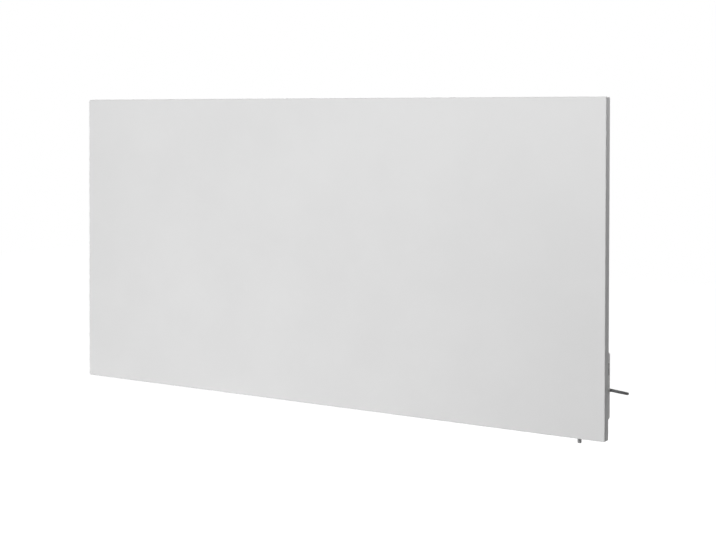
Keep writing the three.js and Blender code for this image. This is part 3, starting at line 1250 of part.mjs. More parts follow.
const coil = coilRoute();
const coilStart = coil[0];
const coilEnd = coil[coil.length - 1];
console.log(`coil: least gap to itself ${leastGap(coil).toFixed(2)} mm`);
piece("cord_sleeve", cordSleeve(), FINISH.greyCord);
piece("cord_lead", tubeAlong([...LEAD_ROUTE, [coilStart.x, coilStart.y, coilStart.z - SEAT]], CORD_DIAMETER, 26, 8),
  FINISH.greyCord);
piece("cord_coil", coilTube(coil), FINISH.greyCord);
piece("cord_tail", tubeAlong([
  [coilEnd.x + SEAT, coilEnd.y, coilEnd.z],
  ...TAIL_ROUTE,
  [PLUG_X, RELIEF_Y, PLUG_Z + RELIEF_ROOT + RELIEF_END + 5],
  [PLUG_X, RELIEF_Y, PLUG_Z + RELIEF_ROOT + RELIEF_END + SEAT],
], CORD_DIAMETER, 9, 8), FINISH.greyCord);
piece("cord_tie", cordTie(coil), FINISH.blackMoulding);
piece("plug_body", plugBody(), FINISH.greyCord);
for (const [i, side] of [[1, -1], [2, 1]]) {
  piece(`plug_pin_${i}`, plugPin(side), FINISH.nickel);
  piece(`plug_clip_${i}`, plugClip(side), FINISH.nickel);
}

for (const [where, side] of [["left", -1], ["right", 1]]) {
  piece(`hanger_${where}`, hanger(side), FINISH.zincSheet);
  piece(`spacer_${where}`, spacer(side), FINISH.whiteMoulding);
  piece(`spacer_foot_${where}`, spacerFoot(side), FINISH.darkRubber);
}
hangerScrewPlaces().forEach(([x, z], i) => {
  panScrew(`hanger_screw_${i + 1}`, x, BACK_FACE + RAIL_GAUGE + 2 * SEAT, z, HANGER_SCREW_DIAMETER,
    2 * HANGER_SCREW_DIAMETER, HANGER_SCREW_LENGTH);
});
piece("wall_rail", wallRail(), FINISH.zincSheet);

export default heater;
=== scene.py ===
"""A wall-hung infrared panel heater, seen from the front and the right.

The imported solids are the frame. This script puts finer surfaces where the solids stand and gives
every surface its finish. Lengths are written in millimetres in the panel's own frame (X from the
panel's middle, Y from its front face, Z from its lower edge) and become metres in the part's frame
in `metres`.
"""
import json
import math

import bmesh
import bpy
import numpy as np
from mathutils import Matrix, Vector


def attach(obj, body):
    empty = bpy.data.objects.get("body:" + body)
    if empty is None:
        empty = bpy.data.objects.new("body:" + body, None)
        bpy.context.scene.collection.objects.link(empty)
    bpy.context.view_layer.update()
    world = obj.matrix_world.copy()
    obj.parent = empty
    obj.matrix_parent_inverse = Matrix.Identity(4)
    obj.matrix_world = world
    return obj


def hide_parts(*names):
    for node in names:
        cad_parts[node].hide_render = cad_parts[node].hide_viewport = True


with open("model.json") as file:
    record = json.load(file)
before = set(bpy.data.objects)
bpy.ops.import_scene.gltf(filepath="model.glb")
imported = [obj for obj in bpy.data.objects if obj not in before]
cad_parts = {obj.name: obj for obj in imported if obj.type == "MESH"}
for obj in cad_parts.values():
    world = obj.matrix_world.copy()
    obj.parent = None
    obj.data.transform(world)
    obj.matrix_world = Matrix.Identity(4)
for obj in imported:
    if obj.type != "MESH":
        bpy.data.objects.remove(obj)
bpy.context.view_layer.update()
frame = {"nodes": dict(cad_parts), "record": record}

# ---------------------------- sizes, as in the solids
WIDTH, HEIGHT, DEPTH = 1200.0, 600.0, 17.0
GAUGE, EDGE_RADIUS, BACK_BEND, CORNER_RADIUS, FLANGE = 1.0, 1.6, 0.9, 2.5, 18.0
BACK_START, BACK_GAUGE, BACK_FACE, BACK_INSET, BACK_CORNER = 17.3, 0.8, 18.1, 8.0, 6.0
BEADS, BEAD_WIDTH, BEAD_HEIGHT, BEAD_LENGTH = (-400.0, -200.0, 0.0, 200.0, 400.0), 16.0, 2.2, 290.0
SHEET_GAUGE, SHEET_BEND = 2.0, 2.0
HANGER_X, SPACER_X, SPACER_Z, FOOT_START = 250.0, 420.0, 60.0, 56.0
HOUSING_X, HOUSING_Z, HOUSING_WIDTH, HOUSING_HEIGHT = 540.2, 91.0, 104.0, 120.0
HOUSING_START, HOUSING_END, HOUSING_WALL, HOUSING_DRAFT = 18.4, 43.4, 2.2, 0.3
HOUSING_CORNER, HOUSING_EDGE, HOUSING_TOP, HOUSING_LOW = 4.5, 1.6, 151.0, 31.0
SWITCH, PROBE, CORD_EXIT = (590.6, 27.5, 122.0), (540.2, 30.0), (592.2, 25.0, 87.0)
POSTS = [(HOUSING_X + a * 41.0, HOUSING_Z + b * 49.0) for a in (-1, 1) for b in (-1, 1)]
CORD_DIAMETER = 5.4
COIL_X, COIL_NEAR, COIL_PITCH, COIL_RADIUS, COIL_TURNS = 507.0, 22.9, 6.0, 32.4, 6.25
PLUG_X, PLUG_BACK, PLUG_FACE, PLUG_Z, PLUG_RADIUS = 568.0, 18.9, 40.9, 169.8, 18.5
RELIEF_Y, RELIEF_ROOT, RELIEF_LENGTH = 28.4, 182.8, 23.5
WALL, RAIL_MIDDLE = 68.0, 490.0
GAP = 0.3  # between pieces that touch
ORIGIN = np.array([0.0, WALL, RAIL_MIDDLE])
QUARTER, FULL = math.pi / 2, 2 * math.pi


def metres(points):
    """Panel millimetres to the part's metres: less the origin's place, over a thousand."""
    return (np.asarray(points, dtype=float) - ORIGIN) / 1000.0


def link(name, data):
    """Puts a mesh, a curve, a lamp or a camera into the scene as an object."""
    made = bpy.data.objects.new(name, data)
    bpy.context.scene.collection.objects.link(made)
    return made


def stand(viewer, right, up, ahead, place):
    """Stands a camera or a lamp at a place, in metres, looking ahead."""
    pose = np.eye(4)
    pose[:3] = np.stack([right, up, -ahead, place], -1)
    viewer.matrix_world = Matrix(pose.tolist())


# ---------------------------- camera
def point_camera():
    """The photograph's camera: a turn about the upright, then a nod, then a roll. Its level line is
    high in the picture, so the frame is shifted down by the rows between that line and the
    middle."""
    yaw, pitch, roll = 0.563316, 0.017594, 0.002197
    focal, picture_width, middle_row, level_row = 1424.71, 716.0, 270.0, 142.23
    cy, sy, cp, sp, cr, sr = (f(a) for a in (yaw, pitch, roll) for f in (math.cos, math.sin))
    about_z = np.array([[cy, sy, 0], [-sy, cy, 0], [0, 0, 1]])
    about_x = np.array([[1, 0, 0], [0, cp, -sp], [0, sp, cp]])
    about_y = np.array([[cr, 0, sr], [0, 1, 0], [-sr, 0, cr]])
    right, ahead, up = about_y @ about_x @ about_z
    data = bpy.data.cameras.new("view")
    data.sensor_fit, data.sensor_width = "HORIZONTAL", 36.0
    data.lens = focal / picture_width * data.sensor_width
    data.shift_y = (level_row - middle_row) / picture_width
    data.clip_end = 60.0
    camera = link("view", data)
    stand(camera, right, up, ahead, (1.55186, -2.37835, 0.07343))
    bpy.context.scene.camera = camera


point_camera()


# ---------------------------- shader tools
class Wire:
    """An output in a node tree. Sums, differences, products and comparisons add Math nodes."""

    def __init__(self, tree, socket):
        self.tree, self.socket = tree, socket

    def _math(self, operation, *values):
        return self.tree.node("Math", {"operation": operation}, dict(enumerate(values)))

    def __add__(self, other):
        return self._math("ADD", self, other)

    def __sub__(self, other):
        return self._math("SUBTRACT", self, other)

    def __rsub__(self, other):
        return self._math("SUBTRACT", other, self)

    def __mul__(self, other):
        return self._math("MULTIPLY", self, other)

    def __gt__(self, other):
        return self._math("GREATER_THAN", self, other)

    def __lt__(self, other):
        return self._math("LESS_THAN", self, other)

    def most(self, other):
        return self._math("MAXIMUM", self, other)

    def wave(self, length):
        """A sine of this value, one full wave to each length."""
        return self._math("SINE", self * (FULL / length))

    __radd__ = __add__
    __rmul__ = __mul__


class Tree:
    """The node tree of a material or a world, emptied. Every node in it comes from `node`."""

    def __init__(self, owner):
        owner.use_nodes = True
        self.graph = owner.node_tree
        self.graph.nodes.clear()

    def node(self, kind, settings=None, inputs=None, out=0):
        """Adds a node: its settings first, then the values or wires of its sockets."""
        made = self.graph.nodes.new(f"ShaderNode{kind}")
        for key, value in (settings or {}).items():
            setattr(made, key, value)
        for key, value in (inputs or {}).items():
            if isinstance(value, Wire):
                self.graph.links.new(value.socket, made.inputs[key])
            else:
                made.inputs[key].default_value = value
        return Wire(self, made.outputs[out]) if made.outputs else None

    def outputs(self, kind, names, inputs=None):
        """Several outputs of one node."""
        made = self.node(kind, None, inputs).socket.node
        return [Wire(self, made.outputs[name]) for name in names]


class Finish(Tree):
    """A material: one Principled shader whose varying inputs follow the piece's own coordinates."""

    def __init__(self, name, **plain):
        self.material, self.plain = bpy.data.materials.new(name), plain
        super().__init__(self.material)
        self.place = self.node("TexCoord", out="Object")

    def set(self, **varying):
        """Adds the shader with its plain and its varying inputs; an underscore stands for a
        space."""
        inputs = {key.replace("_", " "): value for key, value in {**self.plain, **varying}.items()}
        self.node("OutputMaterial", None, {"Surface": self.node("BsdfPrincipled", None, inputs)})
        return self.material

    def stretched(self, *scale):
        """The piece's coordinates, scaled along each axis."""
        return self.node("Mapping", None, {"Vector": self.place, "Scale": scale})

    def axes(self):
        """X, Y and Z of the piece's coordinates, each as a value."""
        return self.outputs("SeparateXYZ", "XYZ", {0: self.place})

    def noise(self, scale, detail=2.0, roughness=0.5, at=None, distortion=0.0):
        return self.node("TexNoise", None, {
            "Vector": at or self.place, "Scale": scale, "Detail": detail, "Roughness": roughness,
            "Distortion": distortion})

    def cells(self, scale, feature="F1", out="Distance"):
        return self.node("TexVoronoi", {"feature": feature},
                         {"Vector": self.place, "Scale": scale}, out)

    def cell_value(self, scale):
        """One random value for each cell of a Voronoi pattern."""
        return self.node("SeparateColor", None, {0: self.cells(scale, out="Color")})

    def ramp(self, value, low, high):
        """A smooth step from 0 to 1 as value goes from low to high."""
        return self.node("MapRange", {"interpolation_type": "SMOOTHSTEP"},
                         {0: value, 1: low, 2: high})

    def tint(self, factor, first, second):
        """A colour between two colours."""
        return self.node("Mix", {"data_type": "RGBA"},
                         {0: factor, 6: opaque(first), 7: opaque(second)}, 2)

    def tone(self, value, low, high, colour, dark, light):
        """A colour from a darker to a lighter shade of itself as value goes from low to high."""
        return self.tint(self.ramp(value, low, high), shade(colour, dark), shade(colour, light))

    def bump(self, height, depth, strength):
        return self.node("Bump", None, {"Height": height, "Distance": depth, "Strength": strength})


def opaque(colour):
    return colour if isinstance(colour, Wire) else (*colour[:3], 1.0)


def shade(colour, factor):
    return tuple(min(1.0, c * factor) for c in colour)


# ---------------------------- finishes
def powder_coat(name, colour, roughness=0.5):
    """White powder coat: a pebbled film about a millimetre from crest to crest, with finer grain on
    it, a little uneven in gloss and very slightly uneven in tone."""
    f = Finish(name, Specular_IOR_Level=0.42)
    pebbles = f.noise(820.0, 2.0, 0.55)
    grain = f.noise(3100.0, 1.0)
    clouds = f.noise(5.5, 3.0, 0.6)
    specks = f.ramp(f.noise(1450.0, 0.0), 0.76, 0.84)
    tone = f.tone(clouds, 0.3, 0.7, colour, 0.985, 1.012)
    return f.set(Base_Color=f.tint(specks * 0.35, tone, shade(colour, 0.86)),
                 Roughness=roughness + (clouds - 0.5) * 0.08 + (grain - 0.5) * 0.06,
                 Normal=f.bump(pebbles + grain * 0.35, 0.00006, 0.55))


def galvanised(name, colour):
    """Hot-dip zinc: crystals about 9 mm across, each with its own grey and gloss, thin feathering
    inside them, and a dull bloom in patches."""
    f = Finish(name, Specular_IOR_Level=0.5)
    crystal = f.cell_value(112.0)
    feather = f.noise(900.0, 3.0, 0.6, f.stretched(1.0, 1.0, 3.5), 1.2)
    bloom = f.ramp(f.noise(26.0, 4.0, 0.62), 0.52, 0.74)
    grey = f.tint(crystal, shade(colour, 0.74), shade(colour, 1.12))
    grey = f.tint(f.ramp(feather, 0.35, 0.75) * 0.35, grey, shade(colour, 1.25))
    return f.set(Base_Color=f.tint(bloom * 0.55, grey, (0.62, 0.63, 0.64)),
                 Metallic=0.95 - bloom * 0.45,
                 Roughness=0.33 + crystal * 0.12 + bloom * 0.24 + feather * 0.05,
                 Normal=f.bump(feather + crystal * 0.4, 0.00005, 0.4))


def moulding(name, colour, roughness, grain=2300.0, depth=0.00004):
    """Moulded plastic with an eroded texture: fine pits of about 0.4 mm, faint flow marks that run
    along the piece, a few scuffs that are lighter and duller."""
    f = Finish(name, Specular_IOR_Level=0.5)
    pits = f.noise(grain, 1.0, 0.5)
    pores = f.cells(grain * 0.8)
    flow = f.noise(55.0, 3.0, 0.6, f.stretched(1.0, 1.0, 0.12), 0.6)
    scuffs = f.ramp(f.noise(310.0, 4.0, 0.7, f.stretched(1.0, 1.0, 0.25)), 0.66, 0.8)
    tone = f.tone(flow, 0.3, 0.7, colour, 0.98, 1.015)
    return f.set(Base_Color=f.tint(scuffs * 0.25, tone, shade(colour, 1.22)),
                 Roughness=roughness + scuffs * 0.16 + (pits - 0.5) * 0.12,
                 Normal=f.bump(pits * 0.7 + pores * 0.5, depth, 0.6))


def sheath(name, colour, roughness=0.46):
    """Extruded plastic round a lead: matt, with a faint grain, the print of the twisted cores as a
    slow rise and fall, and a thin film of dust."""
    f = Finish(name, Specular_IOR_Level=0.15)
    grain = f.noise(2600.0, 2.0)
    lay = f.noise(120.0, 1.0)
    dust = f.ramp(f.noise(420.0, 5.0, 0.68), 0.5, 0.78)
    tone = f.tone(lay, 0.35, 0.65, colour, 0.93, 1.06)
    return f.set(Base_Color=f.tint(dust * 0.22, tone, (0.36, 0.35, 0.33)),
                 Roughness=roughness + dust * 0.2 + (grain - 0.5) * 0.08,
                 Normal=f.bump(grain + lay * 2.0, 0.00003, 0.5))


def rubber(name, colour):
    """Soft black rubber: matt, mottled, with a grey bloom in its pores."""
    f = Finish(name, Specular_IOR_Level=0.35)
    pores = f.cells(1500.0)
    mottle = f.noise(240.0, 5.0, 0.66)
    bloom = f.ramp(mottle, 0.46, 0.72)
    return f.set(Base_Color=f.tint(bloom * 0.5, colour, (0.13, 0.128, 0.122)),
                 Roughness=0.66 + bloom * 0.2, Normal=f.bump(pores + mottle, 0.00006, 0.6))


def metal(name, colour, roughness=0.26, lines=(1.0, 60.0, 1.0), stain=(0.32, 0.27, 0.2),
          stained=0.3, metallic=1.0, specular=0.5):
    """Drawn or turned metal: hair lines along one axis, small bright scratches and a little
    tarnish."""
    f = Finish(name, Specular_IOR_Level=specular)
    hair = f.noise(700.0, 3.0, 0.6, f.stretched(*lines))
    scratch = f.ramp(f.noise(900.0, 2.0, 0.5, f.stretched(0.1, 1.0, 0.4), 0.4), 0.68, 0.74)
    tarnish = f.ramp(f.noise(85.0, 5.0, 0.66), 0.55, 0.78)
    bright = f.tone(hair, 0.3, 0.7, colour, 0.86, 1.1)
    return f.set(Base_Color=f.tint(tarnish * stained, bright, stain),
                 Metallic=metallic - tarnish * 0.2 * metallic,
                 Roughness=roughness + (hair - 0.5) * 0.14 + tarnish * 0.2 - scratch * 0.06,
                 Normal=f.bump(hair - scratch * 0.6, 0.00002, 0.5))


def crinkled_foil(name):
    """Aluminium foil: flat facets between sharp creases, each facet with its own brightness."""
    f = Finish(name, Metallic=1.0)
    facets = f.cell_value(120.0)
    creases = f.ramp(f.cells(120.0, "DISTANCE_TO_EDGE"), 0.0, 0.1)
    ripple = f.noise(260.0, 3.0, 0.6)
    return f.set(Base_Color=f.tint(facets, (0.70, 0.70, 0.71), (0.88, 0.88, 0.89)),
                 Roughness=0.18 + ripple * 0.2, Normal=f.bump(creases + ripple, 0.0004, 0.7))


def printed_film(name):
    """Carbon ink on film: bands every 6 mm with clear lines between them, and a dotted weave of
    ink."""
    f = Finish(name, Specular_IOR_Level=0.6)
    x, _, z = f.axes()
    bands = f.ramp(z.wave(0.006), -0.85, -0.7)
    dots = f.ramp(x.wave(0.0011) * z.wave(0.0011), -0.2, 0.4)
    ink = f.tint(f.noise(70.0, 4.0), (0.018, 0.017, 0.016), (0.045, 0.042, 0.038))
    inked = f.tint(dots * 0.4, ink, (0.06, 0.055, 0.05))
    return f.set(Base_Color=f.tint(bands, (0.34, 0.25, 0.12), inked),
                 Roughness=0.62 - bands * 0.2 + dots * 0.08,
                 Normal=f.bump(bands + dots * 0.3, 0.00003, 0.5))


def mineral_wool(name):
    """Felted fibre: long fine strands in two directions over soft lumps."""
    f = Finish(name, Specular_IOR_Level=0.15, Roughness=0.95)
    lumps = f.noise(45.0, 5.0, 0.65)
    one, other = (f.noise(900.0, 3.0, 0.7, f.stretched(*way), 1.6)
                  for way in ((0.06, 1.0, 1.0), (1.0, 1.0, 0.06)))
    strands = one.most(other)
    tone = f.tint(f.ramp(strands, 0.4, 0.75), (0.42, 0.36, 0.22), (0.80, 0.74, 0.56))
    return f.set(Base_Color=f.tint(f.ramp(lumps, 0.35, 0.7) * 0.4, tone, (0.55, 0.48, 0.32)),
                 Normal=f.bump(strands + lumps * 2.0, 0.0006, 0.9))


def circuit_board(name):
    """Green solder resist over copper tracks on a 2.5 mm pitch, with tinned pads where they end."""
    f = Finish(name, Coat_Weight=0.3, Coat_Roughness=0.2)
    x, _, z = f.axes()
    step = f.cell_value(190.0)
    lengthwise = f.ramp(x.wave(0.0025), 0.45, 0.7) * (step > 0.42)
    crosswise = f.ramp(z.wave(0.0025), 0.45, 0.7) * (step < 0.42)
    tracks = lengthwise.most(crosswise)
    pads = f.ramp(f.cells(330.0), 0.16, 0.1)
    lacquer = f.tint(tracks, (0.012, 0.105, 0.035), (0.03, 0.20, 0.06))
    return f.set(Base_Color=f.tint(pads, lacquer, (0.66, 0.66, 0.64)), Metallic=pads * 0.9,
                 Roughness=0.34 + f.noise(500.0) * 0.12,
                 Normal=f.bump(tracks + pads * 1.6, 0.00006, 0.7))


def woven_strap(name, colour):
    """A woven hook-and-loop strap: threads over and under each other every 0.7 mm, with a fuzz of
    loops."""
    f = Finish(name, Sheen_Weight=0.35, Sheen_Roughness=0.5)
    x, y, z = f.axes()
    weave = (x + y).wave(0.0007) * z.wave(0.0007)
    fuzz = f.noise(2400.0, 4.0, 0.75)
    return f.set(Base_Color=f.tone(weave + fuzz, 0.1, 1.3, colour, 0.6, 2.1),
                 Roughness=0.8 + fuzz * 0.15, Normal=f.bump(weave * 0.6 + fuzz, 0.00018, 0.9))


FINISHES = {
    "white_powder": powder_coat("white powder coat", (0.80, 0.80, 0.80)),
    "zinc_sheet": galvanised("galvanised sheet", (0.53, 0.545, 0.56)),
    "white_moulding": moulding("white moulding", (0.765, 0.765, 0.755), 0.44),
    "black_moulding": moulding("black moulding", (0.016, 0.016, 0.017), 0.36, 2900.0, 0.00003),
    "grey_cord": sheath("grey sheath", (0.165, 0.166, 0.170)),
    "dark_rubber": rubber("black rubber", (0.022, 0.022, 0.022)),
    "steel": metal("bright steel", (0.60, 0.60, 0.61)),
    "nickel": metal("nickel plate", (0.69, 0.66, 0.60), 0.2, (60.0, 1.0, 60.0),
                    (0.42, 0.36, 0.26), 0.25),
    "foil": crinkled_foil("aluminium foil"),
    "carbon_film": printed_film("carbon film"),
    "copper": metal("copper strip", (0.71, 0.36, 0.22), 0.3, (1.0, 1.0, 40.0),
                    (0.22, 0.11, 0.07), 0.45),
    "mineral_wool": mineral_wool("mineral wool"),
    "green_board": circuit_board("circuit board"),
    "brown_wire": sheath("brown insulation", (0.15, 0.062, 0.028), 0.38),
    "blue_wire": sheath("blue insulation", (0.03, 0.085, 0.30), 0.38),
    "earth_wire": sheath("green and yellow insulation", (0.33, 0.40, 0.035), 0.38),
    "probe_steel": metal("probe tube", (0.46, 0.46, 0.465), 0.5, (60.0, 60.0, 1.0),
                         (0.2, 0.19, 0.18), 0.2, metallic=0.05, specular=0.12),
    "strap": woven_strap("strap weave", (0.02, 0.02, 0.021)),
}
SLOTS = [entry["slot"] for entry in frame["record"]["materials"]]


# ---------------------------- outlines
def around(sides):
    """Angles round a full circle."""
    return np.linspace(0, FULL, sides, endpoint=False)


def arc(centre, radii, start, end, steps=8):
    """Points on an ellipse: the centre plus the radii times the cosine and sine of each angle,
    which goes from start to end in degrees."""
    turn = np.radians(np.linspace(start, end, steps + 1))
    return np.stack([np.cos(turn), np.sin(turn)], -1) * radii + centre


def rounded_outline(width, height, radius, steps=8):
    """A rectangle with round corners about the origin: in each corner a quarter circle about a
    centre that lies the radius in from both sides."""
    radius = np.clip(radius, 0.02, min(width, height) / 2 - 0.001)
    turn = np.linspace(0, QUARTER, steps + 1)[None, :] + np.arange(4)[:, None] * QUARTER
    side = np.array([[1, 1], [-1, 1], [-1, -1], [1, -1]], dtype=float)
    a = side[:, :1] * (width / 2 - radius) + radius * np.cos(turn)
    b = side[:, 1:] * (height / 2 - radius) + radius * np.sin(turn)
    return np.stack([a.ravel(), b.ravel()], -1)


def ring(outline, axis, place):
    """An outline's points in the plane across an axis, about a place."""
    across = "xyz".index(axis)
    return np.insert(outline + np.delete(place, across), across, place[across], axis=1)


def bent(corners, radius, steps=8):
    """A line with its corners rounded: round each inner corner an arc that leaves and meets the
    straight parts the radius times the tangent of half the turn from the corner."""
    corners = np.asarray(corners, dtype=float)
    out = [corners[0]]
    for before, corner, after in zip(corners, corners[1:], corners[2:]):
        u = (corner - before) / np.linalg.norm(corner - before)
        v = (after - corner) / np.linalg.norm(after - corner)
        turn = math.atan2(u[0] * v[1] - u[1] * v[0], u @ v)
        start = corner - u * radius * math.tan(abs(turn) / 2)
        normal = math.copysign(1.0, turn) * np.array([-u[1], u[0]])
        swing = np.linspace(0, turn, steps + 1)
        spoke = np.outer(np.cos(swing), normal) + np.outer(np.sin(swing), [-normal[1], normal[0]])
        out.extend(start + normal * radius - radius * spoke)
    out.append(corners[-1])
    return np.array(out)


# ---------------------------- mesh tools
MERGED = 2e-6  # points that lie nearer than this, in metres, are one


def grid_faces(rows, columns, closed=False):
    """Four-sided faces between neighbouring points of a grid, with its columns joined into a ring
    or not."""
    i, j = np.meshgrid(range(rows - 1), range(columns if closed else columns - 1), indexing="ij")
    k = (j + 1) % columns
    corners = (i * columns + j, i * columns + k, (i + 1) * columns + k, (i + 1) * columns + j)
    return np.stack(corners, -1).reshape(-1, 4)


def make(name, points, faces, closed=True):
    """A mesh object from points in panel millimetres. Points that meet become one, and the faces
    are turned outwards; an open skin is turned so that its normals lead away from its middle."""
    mesh = bpy.data.meshes.new(name)
    mesh.from_pydata(metres(points).reshape(-1, 3).tolist(), [],
                     [list(map(int, face)) for face in faces])
    work = bmesh.new()
    work.from_mesh(mesh)
    bmesh.ops.remove_doubles(work, verts=work.verts, dist=MERGED)
    bmesh.ops.recalc_face_normals(work, faces=work.faces)
    if not closed:
        middle = sum((v.co for v in work.verts), Vector()) / len(work.verts)
        outward = sum((f.calc_center_median() - middle).dot(f.normal) * f.calc_area()
                      for f in work.faces)
        if outward < 0:
            bmesh.ops.reverse_faces(work, faces=work.faces)
    work.to_mesh(mesh)
    work.free()
    return link(name, mesh)


def apply_modifiers(piece):
    graph = bpy.context.evaluated_depsgraph_get()
    mesh = bpy.data.meshes.new_from_object(piece.evaluated_get(graph))
    piece.modifiers.clear()
    piece.data = mesh
    return piece


def thicken(piece, gauge, offset=-1.0):
    """Gives an open skin its wall, in millimetres: inwards at offset -1, half each way at 0."""
    wall = piece.modifiers.new("wall", "SOLIDIFY")
    wall.thickness, wall.offset, wall.use_even_offset = gauge / 1000.0, offset, True
    return apply_modifiers(piece)


def ease(piece, width, segments=2, angle=32.0):
    """Rounds every edge sharper than the angle."""
    bevel = piece.modifiers.new("edges", "BEVEL")
    bevel.width, bevel.segments, bevel.limit_method = width / 1000.0, segments, "ANGLE"
    bevel.angle_limit, bevel.use_clamp_overlap = math.radians(angle), True
    return apply_modifiers(piece)


def combine(piece, tools, operation="DIFFERENCE"):
    """Cuts the tools from the piece or joins them to it, and removes them."""
    for tool in tools:
        step = piece.modifiers.new(tool.name, "BOOLEAN")
        step.operation, step.solver, step.object = operation, "EXACT", tool
    apply_modifiers(piece)
    for tool in tools:
        bpy.data.objects.remove(tool)
    return piece


def dress(piece, finish, *nodes, body="panel", slot=None, crease=34.0):
    """Gives a piece its finish, its body and smooth shading, and hides the nodes it stands for."""
    if piece.type == "MESH":
        piece.data.shade_smooth()
        piece.data.set_sharp_from_angle(angle=math.radians(crease))
    piece.data.materials.clear()
    piece.data.materials.append(FINISHES[finish])
    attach(piece, body)
    if nodes:
        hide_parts(*nodes)
    slot or (finish if finish in SLOTS else "steel")
    return piece


def loft(name, rings):
    """A skin through rings of equal counts of points, with a flat face over each end."""
    rows, columns = np.shape(rings)[:2]
    faces = grid_faces(rows, columns, closed=True).tolist()
    faces += [list(range(columns)), list(range((rows - 1) * columns, rows * columns))]
    return make(name, rings, faces)


AXES = {  # two directions across each axis, and the one along it
    "x": ((0, 1, 0), (0, 0, 1), (1, 0, 0)),
    "y": ((1, 0, 0), (0, 0, -1), (0, 1, 0)),
    "z": ((1, 0, 0), (0, 1, 0), (0, 0, 1)),
    "down": ((1, 0, 0), (0, -1, 0), (0, 0, -1)),
}


def turned(name, profile, start, axis, sides=64):
    """A turned form: each pair of the profile, a radius and a distance along the axis, swept round
    a full circle of the radius about the axis. A profile that doesn't end where it starts is closed
    on the axis at both ends."""
    profile = np.asarray(profile, dtype=float)
    if any(profile[0] != profile[-1]):
        profile = np.vstack([(0, profile[0, 1]), profile, (0, profile[-1, 1])])
    angle = around(sides)[:, None]
    u, v, w = np.array(AXES[axis], dtype=float)
    circle = np.cos(angle) * u + np.sin(angle) * v
    points = profile[:, :1, None] * circle + profile[:, 1:, None] * w + start
    return make(name, points, grid_faces(len(profile), sides, closed=True))


def rod(name, diameter, length, start, axis, sides=48):
    return turned(name, [(diameter / 2, 0), (diameter / 2, length)], start, axis, sides)


def slot_cutter(name, outline, axis, place, start, end):
    """A prism of an outline about a place in the plane across an axis, for cutting."""
    across = "xyz".index(axis)
    return loft(name, [ring(outline, axis, np.insert(np.array(place, dtype=float), across, at))
                       for at in (start, end)])


def folded_sheet(name, corners, middle, length, near_radius, far_radius):
    """A folded strip: a bent line in Y and Z carried along X, with half its length shortened near
    each end of the line by the radius less a circle's height there, so that its corners are
    round."""
    line = bent(corners, SHEET_BEND)
    along = np.concatenate([[0.0], np.cumsum(np.linalg.norm(np.diff(line, axis=0), axis=1))])
    near, far = (r * (1 - np.cos(np.linspace(0, QUARTER, 8))) for r in (near_radius, far_radius))
    stops = np.unique(np.round(np.concatenate([along, near, along[-1] - far]), 5))
    half = np.full(len(stops), length / 2)
    for r, distance in ((near_radius, stops), (far_radius, along[-1] - stops)):
        inside = np.clip(r - distance, 0, r)
        half -= r - np.sqrt(r * r - inside * inside)
    x = middle + half[:, None] * np.linspace(-1, 1, 9)
    y, z = (np.interp(stops, along, side)[:, None] + 0 * x for side in line.T)
    sheet = make(name, np.stack([x, y, z], -1), grid_faces(*x.shape), closed=False)
    return ease(thicken(sheet, SHEET_GAUGE, 0.0), 0.25, 2, 50.0)


def grip_rings(count, radius, fall, start, pitch, notch):
    """Rings down a taper, as pairs of a radius and a distance: each ring is a notch's steps down
    from the radius and along from its own start, and the radius falls from ring to ring."""
    return [(radius - fall * i - drop, start + pitch * i + way)
            for i in range(count) for drop, way in notch]


# ---------------------------- lead and plug
LEAD = [
    (600.5, 25, 87), (603, 25, 87), (608, 25.8, 86.2), (613, 28.2, 85.1), (617.6, 32, 83.8),
    (620.8, 37, 82.4), (622.3, 42.5, 81), (622, 48.2, 79.7), (620, 53.6, 78.5), (616.4, 58.4, 77.7),
    (611.4, 62.2, 77.2), (605.6, 64.4, 77.2), (598, 65, 77.9), (580, 65, 79.6), (560, 64.2, 82.6),
    (536, 62, 88), (511, 57.6, 97.5), (489.5, 51.4, 112), (475, 43.5, 132), (467.5, 35.5, 154),
    (466, 30, 172), (466, 28.9, 180),
]
TAIL = [
    (518, 22.9, 233), (530, 23.4, 232.6), (542, 24.3, 230.2), (553, 25.7, 225), (562, 27.4, 217),
]


def coil_line():
    """The stored coil: a flat spiral in, half a turn over which it climbs a layer along half a
    cosine wave, and a flat spiral out. The radius falls by the pitch in each turn inwards and grows
    so outwards; in the half turn between, it follows a parabola. The coil stands on the housing's
    top."""
    spiral = (COIL_TURNS - 0.5) / 2
    outer = COIL_RADIUS + COIL_PITCH * spiral / 2
    turns = np.linspace(0, COIL_TURNS, round(COIL_TURNS * 24) + 1)
    climb = np.clip(turns - spiral, 0, 0.5)
    inside = (climb > 0) & (climb < 0.5)
    wound = np.minimum(np.minimum(turns, spiral), COIL_TURNS - turns)
    radius = outer - COIL_PITCH * np.where(inside, spiral + climb * (1 - 2 * climb), wound)
    angle = math.pi * (1 - 2 * turns)
    y = COIL_NEAR + COIL_PITCH * (1 + np.cos(FULL * climb)) / 2
    points = np.stack([COIL_X + radius * np.cos(angle), y, radius * np.sin(angle)], -1)
    points = np.vstack([points[0] - (0, 0, CORD_DIAMETER), points,
                        points[-1] + (CORD_DIAMETER, 0, 0)])
    points[:, 2] += HOUSING_TOP + GAP + CORD_DIAMETER / 2 - points[:, 2].min()
    return points


